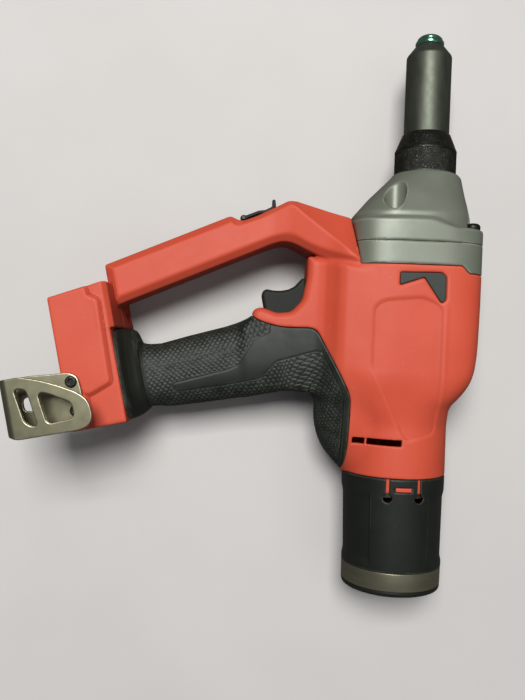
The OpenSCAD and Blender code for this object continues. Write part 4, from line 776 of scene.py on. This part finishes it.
# Each screw's place in X and Y, and how far its head's seat lies to the right of the middle
gripScrews = [(outOfLine(handleLine, 94.2, -19.7), 10.1), ((-46, -279.3), 11.9)]
screwPlaces = [((26.4, -173.1), 14), ((22.4, -220.7), 14), ((9.8, -272.6), 14), ((-66.9, -171.3), 14),
               (outOfLine(strutLine, 121.5, -5.7), 11.2), (outOfLine(strutLine, 56.9, 0.2), 11.2),
               (outOfLine(handleLine, 23.6, 36.8), 14), (outOfLine(handleLine, 24.3, -36.5), 14), *gripScrews]
wellSizes = {"radius": 4.1, "wall": 2.2, "round": 1, "hole": 2.1, "holeEnd": 3, "mouth": -60}
wallSizes = {"barrel": 2.8, "neck": 5.4, "bell": 5.2, "tail": 4}
spigotSizes = {"x": -13.4, "wide": (30.1, 1.2, -300.6), "narrow": (29.2, 0.8, -303.7), "front": -289}
ovalSizes = {"f": 26, "z": -25, "half": 5, "radius": 2.8, "floor": 31.5}
hookHoles = {"places": ((6.4, -29.5), (6.4, -11.5)), "radius": 3.25, "floor": 32.4, "mouth": 60}
housingSizes = {"groove": 0.55, "box": ((-239, -306, 0), (42, -112, 40)), "cell": 1}


def spigotField(x, y, z):
    # The stepped ring that the container slides over, each step with its radius, half wall and end
    reach = np.hypot(x - spigotSizes["x"], z)
    wide, narrow = [np.maximum(np.abs(reach - radius) - wall, end - y)
                    for radius, wall, end in (spigotSizes["wide"], spigotSizes["narrow"])]
    return np.maximum(np.minimum(wide, narrow), y - spigotSizes["front"])


def housingField(x, y, z, side):
    # One half of the red moulding: hollow, with its slot, spigot and holes; the right half takes the screws
    well = wellSizes
    wide = np.abs(z)
    outer = bodyField(x, y, z)
    rear = barrelSizes["tail"] + wallSizes["tail"] - y
    hollow = np.maximum(barrelField(x, y, z) + wallSizes["barrel"], rear)
    hollow = np.minimum(hollow, bellField(x, y, z) + wallSizes["bell"])
    hollow = np.minimum(hollow, neckField(x, y, z) + wallSizes["neck"])
    if side < 0:
        for (px, py), seat in screwPlaces:
            boss = np.hypot(x - px, y - py) - well["radius"]
            hollow = blendMax(hollow, well["wall"] - boss, well["round"])
    form = np.maximum(outer, -hollow)
    ribAt, ribHalf, ribTop = ventSizes["rib"]
    rib = np.maximum(np.abs(x - ribAt) - ribHalf, wide - ribTop)
    slot = np.maximum(rectField(x, y, ventSizes["slot"]), -rib)
    form = np.maximum(form, -np.maximum(slot, ventSizes["slotFloor"] - wide))
    form = np.maximum(form, -triggerRoomField(x, y, z))
    form = np.minimum(form, spigotField(x, y, z))
    if side < 0:
        for spot, seat in screwPlaces:
            form = np.maximum(form, -pegField(x, y, z, spot, well["radius"], well["mouth"], -seat))
            form = np.maximum(form, -pegField(x, y, z, spot, well["hole"], well["mouth"], well["holeEnd"]))
        h, f = handleFrame(x, y)
        aside = np.maximum(np.abs(z - ovalSizes["z"]) - ovalSizes["half"], 0)
        oval = np.hypot(f - ovalSizes["f"], aside) - ovalSizes["radius"]
        form = np.maximum(form, -np.maximum(oval, ovalSizes["floor"] - h))
    for place in hookHoles["places"]:
        spot = outOfLine(handleLine, *place)
        hole = pegField(x, y, wide, spot, hookHoles["radius"], hookHoles["floor"], hookHoles["mouth"])
        form = np.maximum(form, -hole)
    return halfOf(form, outer, z, side, housingSizes["groove"])


addHalves("Housing", housingField, housingSizes, redPlastic, "housing")
print("stage: housing made")

# Soft grip

scaleSizes = {
    "long": 3.3, "wide": 2.1, "groove": 0.6, "depth": 0.4, "dome": 0.12, "start": 48, "fade": (0.4, 0.9),
    "arrow": cornered([(-160.2, -237.4), (-161.2, -239.1), (-157.4, -242.6), (-129.9, -237.8), (-104.7, -232),
                       (-94.8, -220.9), (-69.6, -213.1), (-65.6, -213.7), (-60, -205), (-66, -190),
                       (-96, -190), (-100.4, -199.6), (-99.9, -202.4), (-109.7, -207.5), (-114.1, -215.7),
                       (-118.6, -223.8), (-125.6, -227.3)], reach=1.5),
    "margin": [(-65.8, -213.7), (-51.6, -240.9), (-51.2, -300), (-20, -300), (-20, -213.7)],
    "line": 0.45, "lineDepth": 0.35, "collarLine": 46.2,
    "middle": -17, "radius": 21, "onBell": (-95, 18), "dropMost": 0.95, "bellRow": -50, "bellAlong": -50}


def scalePits(along, row):
    # Staggered scales: a groove halfway between each scale's middle and those of its neighbours
    long, wide = scaleSizes["long"], scaleSizes["wide"]
    a = along - long * np.round(along / long)
    b = row - 2 * wide * np.round(row / (2 * wide))
    aNext = along - long * (np.round(along / long - 0.5) + 0.5)
    bNext = row - 2 * wide * (np.round(row / (2 * wide) - 0.5) + 0.5)
    here = a * a + b * b
    there = aNext * aNext + bNext * bNext
    between = np.abs(here - there) / (2 * math.hypot(long / 2, wide))
    ends = long / 2 - np.abs(np.where(here < there, a, aNext))
    pit = 1 - ease(np.minimum(between, ends) / scaleSizes["groove"])
    return pit + scaleSizes["dome"] * np.minimum(here, there)


def scalePlace(x, y, z):
    # Along and around the handle, and on the bell along and around the bell
    h, f = handleFrame(x, y)
    wide = np.abs(z)
    bellFrom, bellOver = scaleSizes["onBell"]
    onBell = ease((x - bellFrom) / bellOver)
    drop = np.clip((bellSizes["turn"] - y) / bellSizes["end"], 0, scaleSizes["dropMost"])
    around = np.arctan2(wide, -(f - scaleSizes["middle"])) * scaleSizes["radius"]
    bellRow = f - scaleSizes["bellRow"] - bellSizes["end"] * (np.arcsin(drop) - drop)
    turn = np.arctan2(-(x - bellSizes["x"]), wide + 0.01)
    along = h - onBell * (bellSizes["radius"] * turn + x - scaleSizes["bellAlong"])
    return along, around + (bellRow - around) * onBell


def gripField(x, y, z, side):
    # The handle's skin within the seam, with scales outside the smooth places and lines at their edges
    size = scaleSizes
    h, f = handleFrame(x, y)
    base = handleField(x, y, z)
    arrow = outlineField(x, y, size["arrow"])
    margin = outlineField(x, y, size["margin"])
    smooth = np.minimum(np.minimum(arrow, margin), h - size["start"])
    fadeFrom, fadeOver = size["fade"]
    pits = size["depth"] * scalePits(*scalePlace(x, y, z)) * ease((smooth - fadeFrom) / fadeOver)
    form = base + seamSizes["gap"] + pits
    lines = np.minimum(np.minimum(np.abs(arrow), np.abs(margin)), np.abs(h - size["collarLine"]))
    form = form + size["lineDepth"] * (1 - ease(lines / (2 * size["line"])))
    form = blendMax(form, seamField(x, y) + seamSizes["gap"], seamSizes["round"])
    form = np.maximum(form, gripSizes["barrelGap"] - barrelField(x, y, z))
    form = np.maximum(form, -(base + gripSizes["thick"]))
    form = np.maximum(form, -triggerRoomField(x, y, z))
    if side < 0:
        for spot, seat in gripScrews:
            form = np.maximum(form, -pegField(x, y, z, spot, wellSizes["radius"], wellSizes["mouth"], -seat))
    return halfOf(form, base, z, side, gripSizes["groove"])


addHalves("Grip", gripField, gripSizes, gripRubber, "grip")
print("stage: grip made")

# Vent inserts, trigger and store clip

insertSizes = {"gap": 0.25, "middle": 37.6, "half": 1, "edge": 0.5,
               "box": ((-22, -182, 36), (9, -160, 39)), "cell": 0.35}


def ventField(x, y, z, side):
    # A plate with rounded edges in the vent's well
    flat = outlineField(x, y, ventSizes["outline"]) + insertSizes["gap"]
    high = np.abs(side * z - insertSizes["middle"]) - insertSizes["half"]
    return slabField(flat, high, insertSizes["edge"])


addHalves("Vent", ventField, insertSizes, darkPlastic, "vent")

triggerSizes = {
    "outline": cornered([(130.9, 3), (130.9, 22.6), (132.5, 25.2), (135, 26), (139.5, 24.2), (144.3, 23.2),
                         (149, 23.1), (153.5, 24.4), (157, 27), (159.7, 28.8), (161.8, 28.2),
                         (161.8, 3)], reach=1.2),
    "half": 8.5, "edge": 2.6, "peg": 2.5, "pegEnds": (-9, 5), "pegJoin": 0.6,
    "box": ((-109, -209, -9), (-70, -163, 9)), "cell": 0.45}


def triggerField(x, y, z):
    # An outline across the handle given a width, with a round peg behind it
    h, f = handleFrame(x, y)
    flat = outlineField(h, f, triggerSizes["outline"])
    form = slabField(flat, np.abs(z) - triggerSizes["half"], triggerSizes["edge"])
    back, front = triggerSizes["pegEnds"]
    peg = np.hypot(h - triggerRoom["pegAt"], z) - triggerSizes["peg"]
    return blendMin(form, np.maximum(peg, np.maximum(back - f, f - front)), triggerSizes["pegJoin"])


addForm("triggerLever", triggerField, triggerSizes, triggerPlastic, "trigger", ["trigger"])

clipSizes = {
    "line": [(96, 8.8), (100, 8.9), (107, 8.8), (111.2, 7.6), (116, 7.9), (118, 9.1), (118.8, 12)],
    "thick": 1.1, "half": 7, "edge": 0.6, "pin": (96, 8.85), "pinHole": 1.05, "knuckle": 2.2,
    "knuckleJoin": 1, "box": ((-124, -131, -8), (-94, -109, 8)), "cell": 0.4}


def clipField(x, y, z):
    # A bent strip along a line, with a knuckle about its pin
    along, across = strutFrame(x, y)
    near = None
    for (ax, ay), (bx, by) in zip(clipSizes["line"][:-1], clipSizes["line"][1:]):
        ex, ey = bx - ax, by - ay
        t = np.clip(((along - ax) * ex + (across - ay) * ey) / (ex * ex + ey * ey), 0, 1)
        away = np.hypot(along - ax - ex * t, across - ay - ey * t)
        near = away if near is None else np.minimum(near, away)
    fromPin = np.hypot(along - clipSizes["pin"][0], across - clipSizes["pin"][1])
    flat = blendMin(near - clipSizes["thick"], fromPin - clipSizes["knuckle"], clipSizes["knuckleJoin"])
    form = slabField(flat, np.abs(z) - clipSizes["half"], clipSizes["edge"])
    return np.maximum(form, clipSizes["pinHole"] - fromPin)


addForm("storeClip", clipField, clipSizes, clipPlastic, "clip", ["store_clip"])
print("stage: small mouldings made")

# Gearcase; a bore is its place in X and Z, its radius, its back and its front

caseSizes = {
    "screws": ((-23.5, 28.1), (28, 19.5)), "seats": (-127.2, -132.7), "screwHole": 2.55, "splitGroove": 0.5}
caseFrontSizes = {
    "at": [-140, -124, -111, -95.7, -94, -80], "low": [-48.25, -48.25, -37.5, -22.5, -21.5, -21.5],
    "high": [28.4, 28.4, 26, 23.6, 21.5, 21.5], "half": [37.5, 37.5, 32, 24.25, 21.6, 21.6],
    "power": [3, 3, 2.4, 2, 2, 2], "soft": 1.2, "nose": -94.05, "noseRound": 0.8,
    "flange": -128.3, "flangeSlope": 0.93, "flangeRound": 2.2, "flangeJoin": 2.6, "ledge": 4.6,
    "ledgeFrom": (-4, 16), "groove": (-23.8, 28, 6.9, -127.3), "grooveLean": 0.05, "grooveMiddle": -113,
    "grooveRound": 1, "pocket": 5.3, "pocketFloor": -132.8, "pocketRound": 0.8, "holeFront": -126,
    "bores": ((0, 0, 14.95, -101, -60), (0, 0, 12.6, -110, -99), (0, 0, 19.05, -119, -109),
              (0, 0, 20.05, -128, -118), (0, 0, 25, -160, -127), (-27.8, 7.4, 8.75, -160, -127),
              (-27.8, 7.4, 5.05, -130, -121)),
    "split": -142.4, "box": ((-51, -143, -40), (37, -93, 40)), "cell": 0.75}
caseRearSizes = {
    "plugGap": 3, "plugEnds": (-163, -155), "plugLeft": -44.6, "holeBack": -160,
    "bores": ((0, 0, 25, -152, -100), (-27.8, 7.4, 8.75, -152, -100), (0, 0, 20.05, -161, -150),
              (0, 0, 12.4, -200, -100), (-27.8, 7.4, 4.5, -200, -100)),
    "split": -142.6, "box": ((-50, -164, -40), (37, -142, 40)), "cell": 0.75}


def flangeField(x, z, gap):
    # The barrel's front section, smaller all round by the gap
    left, right = barrelSizes["left"] + gap, barrelSizes["right"][-1] - gap
    return sectionField(x, z, left, right, barrelSizes["half"] - gap, barrelSizes["power"])


def caseSplit(form, outer, past):
    # The form cut where past is above zero, with a fine groove along the cut
    return np.maximum(np.maximum(form, past), (outer + past + caseSizes["splitGroove"]) / diagonal)


def caseFrontField(x, y, z):
    # A cone on a flange with a ledge, then the lens groove, the ledge screws' wells and the bores cut from it
    size = caseFrontSizes
    wide = np.abs(z)
    ring = [softTable(y, size["at"], size[key], size["soft"]) for key in ("low", "high", "half", "power")]
    cone = sectionField(x, z, *ring)
    left, right = size["ledgeFrom"]
    shoulder = y - size["flange"] + size["ledge"] * ease((x - left) / (right - left))
    flange = blendMax(flangeField(x, z, 0), size["flangeSlope"] * shoulder, size["flangeRound"])
    form = blendMin(cone, flange, size["flangeJoin"])
    form = blendMax(form, y - size["nose"], size["noseRound"])
    gx, gz, radius, end = size["groove"]
    gz = gz - size["grooveLean"] * (y - size["grooveMiddle"])
    form = blendMax(form, -np.maximum(np.hypot(x - gx, wide - gz) - radius, end - y), size["grooveRound"])
    lx, lz = caseSizes["screws"][1]
    well = np.where(wide > lz, np.abs(x - lx), np.hypot(x - lx, wide - lz)) - size["pocket"]
    form = blendMax(form, -np.maximum(well, size["pocketFloor"] - y), size["pocketRound"])
    outer = form
    form = bored(form, x, y, z, size["bores"])
    for px, pz in caseSizes["screws"]:
        hole = caseSizes["screwHole"] - np.hypot(x - px, wide - pz)
        form = np.maximum(form, np.where(y < size["holeFront"], hole, farInside))
    form = blendMax(form, outlineField(x, y, caseSeam["outline"]) + caseSeam["gap"], caseSeam["round"])
    return caseSplit(form, outer, size["split"] - y)


def caseRearField(x, y, z):
    # A band that shows and a plug inside the housing, with the bores cut from both
    size = caseRearSizes
    outer = flangeField(x, z, 0)
    band = blendMax(outer, outlineField(x, y, caseSeam["outline"]) + caseSeam["gap"], caseSeam["round"])
    back, front = size["plugEnds"]
    plug = np.maximum(flangeField(x, z, size["plugGap"]), np.maximum(back - y, y - front))
    form = np.minimum(band, np.maximum(plug, size["plugLeft"] - x))
    form = bored(form, x, y, z, size["bores"])
    for px, pz in caseSizes["screws"]:
        hole = np.hypot(x - px, np.abs(z) - pz) - caseSizes["screwHole"]
        form = np.maximum(form, -np.maximum(hole, size["holeBack"] - y))
    return caseSplit(form, outer, y - size["split"])


addForm("gearcaseFront", caseFrontField, caseFrontSizes, casePaint, "frame", ["gearcase_front"])
addForm("gearcaseRear", caseRearField, caseRearSizes, casePaint, "frame", ["gearcase_rear"])
print("stage: gearcase made")

# Nose; a profile's points are a radius and a place along Y

noseProfile = cornered([(2.1, -29), (2.1, -0.1), (2.6, 0), (5.4, 0), (6.6, -0.5), (8.1, -1.9), (8.3, -2.5),
                        (8.0, -3.1), (8.9, -3.6), (9.4, -4.5), (9.4, -5.9), (9.0, -6.9), (6, -7), (6, -17),
                        (4, -17), (4, -29)], reach=0.4)
noseShape = ringShape(noseProfile, turns=120)
addPiece("nosepieceRing", noseShape, greenSteel, "frame", ["nosepiece"])
casingProfile = cornered([(6.02, -7.1), (9.0, -7.1), (9.5, -7.4), (14.6, -14), (14.9, -15), (14.9, -101),
                          (12.4, -101), (12.4, -17), (6.02, -17)], reach=0.6)
casingShape = ringShape(casingProfile, turns=160)
addPiece("casingSleeve", casingShape, bluedSteel, "frame", ["nose_casing"])

knurlSizes = {
    "count": 100, "lead": 1.28, "high": 0.28, "sharp": 1.6, "from": -78.6, "to": -93.2, "fade": 0.4,
    "radius": 20.2, "inner": 18, "row": 0.16, "turns": 900, "edgeWearAndHighlight": (20.1, 0.25, 0.3), "plain": 0.2}


def knurlBulge(angle, along, radius):
    # Two sets of ridges that cross, each a triangle wave along a screw line
    turn = knurlSizes["count"] * angle
    rise = 2 * math.pi * along / knurlSizes["lead"]
    peak = np.minimum(np.abs(((turn + rise) / math.pi) % 2 - 1), np.abs(((turn - rise) / math.pi) % 2 - 1))
    inside = (ease((knurlSizes["from"] - along) / knurlSizes["fade"])
              * ease((along - knurlSizes["to"]) / knurlSizes["fade"]))
    return knurlSizes["high"] * (peak * knurlSizes["sharp"] - 1) * inside * (radius > knurlSizes["inner"])


rowPlaces = np.arange(knurlSizes["from"], knurlSizes["to"], -knurlSizes["row"])
knurlRows = [(knurlSizes["radius"], place) for place in rowPlaces]
collarProfile = np.concatenate([
    [(15.0, -94), (15.0, -66.6), (15.3, -66.3), (15.9, -67), (17.4, -70.6), (18.9, -74.3), (19.5, -76),
     (20.1, -77.4), (20.4, -78.1)], knurlRows, [(20.3, -93.6), (19.9, -94)]])
collarShape = ringShape(collarProfile, knurlSizes["turns"], bulge=knurlBulge)
height = np.hypot(collarShape[0][:, 0], collarShape[0][:, 2])
# The knurl's tops take the lighter edge colour, for wear and a painted highlight
topWearAndHighlightFrom, topWearAndHighlightOver, topWearAndHighlightInset = knurlSizes["edgeWearAndHighlight"]
knurled = (collarShape[0][:, 1] < knurlSizes["from"] - topWearAndHighlightInset) & (height > knurlSizes["inner"])
collarEdge = np.where(knurled, np.clip((height - topWearAndHighlightFrom) / topWearAndHighlightOver, 0, 1), knurlSizes["plain"])
addPiece("noseCollar", collarShape, blackSteel, "frame", ["nose_collar"], collarEdge)
print("stage: nose made")

# Container for spent mandrels

potSizes = {
    "x": -13.6, "shift": 0.95, "radius": 33.8, "taper": 1.35, "length": 67, "start": -291.25, "startRound": 1,
    "wall": 2.3, "floor": -359.5, "end": -362.3, "step": (-350.5, 31.7), "stepRound": 0.3,
    "recess": 0.9, "recessTurn": math.radians(57), "recessEdge": 1.6, "recessFront": (-300, 6),
    "recessBack": (-348, 5), "slots": (-22, -2.2), "slotHalf": 0.95, "slotEnd": -303.4, "keyhole": 2.7,
    "window": (-17.5, -6.9, -299.4, -296.4), "upperFrom": 10, "centre": (-12.8, 0),
    "box": ((-48, -363, -35), (22, -291, 35)), "cell": 0.8}


def potField(x, y, z):
    # A tapered pot with two finger recesses, and a latch tongue between two slots on its upper side
    size = potSizes
    share = (size["start"] - y) / size["length"]
    centre = size["x"] + size["shift"] * share
    radius = size["radius"] - size["taper"] * share
    away = np.hypot(x - centre, z)
    front, frontFade = size["recessFront"]
    back, backFade = size["recessBack"]
    low = ease((front - y) / frontFade) * ease((y - back) / backFade)
    turn = np.arctan2(np.abs(z), np.abs(x - centre))
    form = away - radius
    form = form + size["recess"] * low * ease((size["recessTurn"] - turn) * radius / size["recessEdge"])
    form = blendMax(form, y - size["start"], size["startRound"])
    stepAt, stepRadius = size["step"]
    form = blendMax(form, np.where(y < stepAt, away - stepRadius, farInside), size["stepRound"])
    form = np.maximum(form, size["end"] - y)
    form = np.maximum(form, -np.maximum(away - (radius - size["wall"]), size["floor"] - y))
    upper = np.where(z > size["upperFrom"], 0, -farInside)
    for sx in size["slots"]:
        slot = np.minimum(np.maximum(np.abs(x - sx) - size["slotHalf"], size["slotEnd"] - y),
                          np.hypot(x - sx, y - size["slotEnd"]) - size["keyhole"])
        form = np.maximum(form, -(slot + upper))
    return np.maximum(form, -(rectField(x, y, size["window"]) + upper))


addForm("mandrelPot", potField, potSizes, blackPlastic, "container", ["container_body"])

tabSizes = {"gap": 0.25, "reach": 32.6, "half": 1.15, "edge": 0.5,
            "box": ((-19, -300.5, 28), (-5, -295.5, 36)), "cell": 0.3}


def tabField(x, y, z):
    # The latch in the pot's window, curved about the spigot's axis
    gap = tabSizes["gap"]
    left, right, back, front = potSizes["window"]
    flat = np.maximum(np.maximum(left + gap - x, x - right + gap),
                      np.maximum(back + gap - y, y - front + gap))
    high = np.abs(np.hypot(x - spigotSizes["x"], z) - tabSizes["reach"]) - tabSizes["half"]
    return np.maximum(slabField(flat, high, tabSizes["edge"]), potSizes["upperFrom"] - z)


addForm("latchTab", tabField, tabSizes, redPlastic, "container")
bandProfile = cornered([(31.75, -350.7), (32.2, -350.7), (32.5, -351.1), (32.4, -361.8), (32.2, -362.2),
                        (31.75, -362.2)], reach=0.25, steps=3)
bandShape = ringShape(bandProfile, turns=200, centre=potSizes["centre"])
addPiece("potBand", bandShape, bandMetal, "container", ["container_band"])
capProfile = cornered([(0.2, -364.2), (0.2, -366), (30, -366), (31.8, -365.2), (32.3, -364), (32.3, -362.6),
                       (32.1, -362.35), (29.5, -362.35), (29.5, -358.4), (27, -358.4),
                       (27, -364.2)], reach=0.8)
capShape = ringShape(capProfile, turns=180, centre=potSizes["centre"])
addPiece("potCap", capShape, blackPlastic, "container", ["container_cap"])
print("stage: container made")

# Screws

screwSizes = {
    "hook": {"headRadius": 3.6, "headLong": 2, "shaftRadius": 2, "shaftLong": 8.9, "recess": 1.5,
             "cell": 0.3},
    "housing": {"headRadius": 3.6, "headLong": 3, "shaftRadius": 1.95, "shaftLong": 24, "recess": 1.5,
                "cell": 0.4},
    "ledge": {"headRadius": 4.9, "headLong": 5.2, "shaftRadius": 2.45, "shaftLong": 24, "recess": 2.2,
              "cell": 0.45},
    "groove": {"headRadius": 4.9, "headLong": 2.1, "shaftRadius": 2.45, "shaftLong": 24, "recess": 2,
               "cell": 0.4}}
screwShares = {"headRound": 0.45, "recessFloor": 0.4}  # of the head's height
screwFit = {"overlap": 0.5, "fillet": 0.3, "aside": 0.3, "ends": 0.2}
hookSeat = 41.46


def screwShape(headRadius, headLong, shaftRadius, shaftLong, recess, cell):
    # Head above zero, shaft below it, with a six-sided recess in the head
    def field(x, y, z):
        away = np.hypot(x, y)
        high = np.abs(z - headLong / 2) - headLong / 2
        head = slabField(away - headRadius, high, screwShares["headRound"] * headLong)
        shaft = np.maximum(away - shaftRadius, np.maximum(z - screwFit["overlap"], -shaftLong - z))
        slant = np.maximum(np.abs(0.5 * x + 0.866 * y), np.abs(0.5 * x - 0.866 * y))
        six = np.maximum(np.abs(x), slant) - recess
        floor = screwShares["recessFloor"] * headLong - z
        return np.maximum(blendMin(head, shaft, screwFit["fillet"]), -np.maximum(six, floor))
    reach, ends = headRadius + screwFit["aside"], screwFit["ends"]
    box = ((-reach, -reach, -shaftLong - ends), (reach, reach, headLong + ends))
    points, faces = fieldShape(field, box, cell)
    return points, faces, edgeShare(field, points, cell)


def addScrews(name, kind, turn, places, nodes):
    # Copies of one screw, turned and moved to their places
    points, faces, edges = screwShape(**screwSizes[kind])
    turned = points @ np.asarray(turn, float).T
    shapes = [(turned + np.asarray(place, float), faces) for place in places]
    addPiece(name, joined(shapes), blackSteel, "frame", nodes, np.tile(edges, len(places)))


keepUp = [(1, 0, 0), (0, 1, 0), (0, 0, 1)]
headDown = [(1, 0, 0), (0, -1, 0), (0, 0, -1)]
headAhead = [(1, 0, 0), (0, 0, 1), (0, -1, 0)]
groovePair, ledgePair = [[(px, seat, pz), (px, seat, -pz)]
                         for (px, pz), seat in zip(caseSizes["screws"], caseSizes["seats"])]
addScrews("hookScrews", "hook", keepUp,
          [(*outOfLine(handleLine, *place), hookSeat) for place in hookHoles["places"]], ["hook_screws"])
addScrews("housingScrews", "housing", headDown,
          [(*spot, -seat) for spot, seat in screwPlaces], ["housing_screws"])
addScrews("gearcaseScrews", "ledge", headAhead, ledgePair, ["gearcase_screws"])
addScrews("grooveScrews", "groove", headAhead, groovePair, [])
print("stage: screws made")

# Belt hook, bent from sheet

hookSizes = {
    "leaf": cornered([(-36, -3.6), (-18.2, -3.6), (-6.4, -7.6), (4.1, -12.6), (14.3, -18.5), (19.7, -24.4),
                      (20.3, -33.6), (17.9, -38.5), (12.2, -40.5), (-26, -40.1), (-31, -37.5), (-36, -36.5)],
                     reach=4, steps=6),
    "slots": [cornered([(-22.6, -11.2), (-20.1, -10.1), (-15.8, -11.7), (-14.8, -16.3), (-12.4, -33.4),
                        (-15.6, -33.6), (-19.6, -30.6)], reach=2.5, steps=5),
              cornered([(-9.1, -16.2), (-6.9, -14.6), (-2.7, -16.2), (9.6, -23.7), (9.8, -32.9), (-5, -33.6),
                        (-6.9, -31.8)], reach=3, steps=5)],
    "base": cornered([(-36, -3.6), (-18.2, -3.6), (-1.7, -5.2), (5.5, -5.6), (10.8, -9), (11.6, -17.5),
                      (11.6, -30), (9.5, -36), (0, -38.8), (-26, -40.1), (-31, -37.5), (-36, -36.5)],
                     reach=4, steps=6),
    "window": cornered([(-25, -16.5), (-17, -16.5), (-16.4, -25), (-25, -25)], reach=3),
    "low": 40.3, "high": 59.6, "back": -30.4, "bend": 4, "thick": 2.4, "edge": 0.45, "hole": 2.3,
    "box": ((-260, -275, 38.5), (-200, -231, 61.5)), "cell": 0.45}


def hookField(x, y, z):
    # A sheet bent round in a loop: its upper leg has the leaf's outline, its lower leg the base's
    h, f = handleFrame(x, y)
    bend = hookSizes["bend"]
    middle = (hookSizes["low"] + hookSizes["high"]) / 2
    away = hookSizes["back"] + bend - h
    aside = np.abs(z - middle) - (hookSizes["high"] - middle - bend)
    loop = np.hypot(np.maximum(away, 0), np.maximum(aside, 0)) + np.minimum(np.maximum(away, aside), 0) - bend
    sheet = np.abs(loop) - hookSizes["thick"] / 2
    leaf = outlineField(h, f, hookSizes["leaf"])
    for slot in hookSizes["slots"]:
        leaf = np.maximum(leaf, -outlineField(h, f, slot))
    base = np.maximum(outlineField(h, f, hookSizes["base"]), -outlineField(h, f, hookSizes["window"]))
    for ah, af in hookHoles["places"]:
        base = np.maximum(base, hookSizes["hole"] - np.hypot(h - ah, f - af))
    return slabField(np.where(z > middle, leaf, base), sheet, hookSizes["edge"])


addForm("beltHook", hookField, hookSizes, hookMetal, "frame", ["belt_hook"])
print("stage: belt hook made")

# The pieces inside keep their CAD meshes

slotMaterials = {
    "red_plastic": redPlastic, "soft_grip": gripRubber, "dark_plastic": darkPlastic,
    "trigger_plastic": triggerPlastic, "black_plastic": blackPlastic, "board": boardCoat, "brass": brassMetal,
    "case_paint": casePaint, "cast_metal": castMetal, "black_steel": blackSteel, "blued_steel": bluedSteel,
    "green_steel": greenSteel, "bright_steel": brightSteel, "gear_steel": gearSteel, "copper": copperWire,
    "band_metal": bandMetal, "hook_metal": hookMetal}
for node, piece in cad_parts.items():
    if not piece.hide_render:
        slotName = piece.data.materials[0].name if piece.data.materials else "bright_steel"
        slotName = slotName.split(".")[0]
        piece.data.materials.clear()
        piece.data.materials.append(slotMaterials[slotName])
print("stage: inner pieces shaded")

# Floor, light and camera, in metres

studioSizes = {
    "floorHalf": 1.6, "floorLevel": -0.0392, "aim": (-0.1, -0.2, 0),
    "keyLamp": {"place": (-0.22, 0.5, 2.0), "size": (0.85, 0.75), "power": 48},
    "fillLamp": {"place": (0.7, -0.4, 1.4), "size": (1.0, 1.0), "power": 1.4},
    "skyColour": (0.9, 0.93, 1.0, 1), "skyPower": 0.1}
cameraSizes = {  # the photo's half height and the camera's distance are in the photo's pixels
    "halfHigh": 350, "away": 720, "place": (-0.1038, -0.2138, 0.4824), "turn": math.radians(2.3),
    "clip": 0.01}

half, level = studioSizes["floorHalf"], studioSizes["floorLevel"]
floorMesh = bpy.data.meshes.new("floor")
floorCorners = [(-half, -half, level), (half, -half, level), (half, half, level), (-half, half, level)]
floorMesh.from_pydata(floorCorners, [], [(0, 1, 2, 3)])
floor = linked("floor", floorMesh)
floorMesh.materials.append(finish("floor_paper", {
    "base": tint(206, 203, 199), "second": tint(210, 207, 203), "mottle": 120, "grain": (1.2, 0.05),
    "bump": 0.15, "rough": (0.7, 0.8), "specular": 0.2, "bounce": tint(96, 92, 88)}))


def addLamp(name, place, size, power):
    lamp = bpy.data.lights.new(name, "AREA")
    lamp.shape = "RECTANGLE"
    lamp.size, lamp.size_y = size
    lamp.energy = power
    holder = linked(name, lamp)
    direction = np.asarray(place, float) - np.asarray(studioSizes["aim"], float)
    holder.location = place
    flatLong = math.hypot(direction[0], direction[1])
    holder.rotation_euler = (math.atan2(flatLong, direction[2]), 0, math.atan2(direction[0], -direction[1]))


for lampName in ("keyLamp", "fillLamp"):
    addLamp(lampName, **studioSizes[lampName])
world = bpy.data.worlds.new("studio")
world.use_nodes = True
world.node_tree.nodes["Background"].inputs["Color"].default_value = studioSizes["skyColour"]
world.node_tree.nodes["Background"].inputs["Strength"].default_value = studioSizes["skyPower"]
bpy.context.scene.world = world

lens = bpy.data.cameras.new("camera")
lens.sensor_fit = "VERTICAL"
lens.angle = 2 * math.atan(cameraSizes["halfHigh"] / cameraSizes["away"])
lens.clip_start = cameraSizes["clip"]
camera = linked("camera", lens)
camera.location = cameraSizes["place"]
camera.rotation_euler = (0, 0, cameraSizes["turn"])
bpy.context.scene.camera = camera
bpy.context.scene.view_settings.view_transform = "Standard"

print("stage: scene ready")
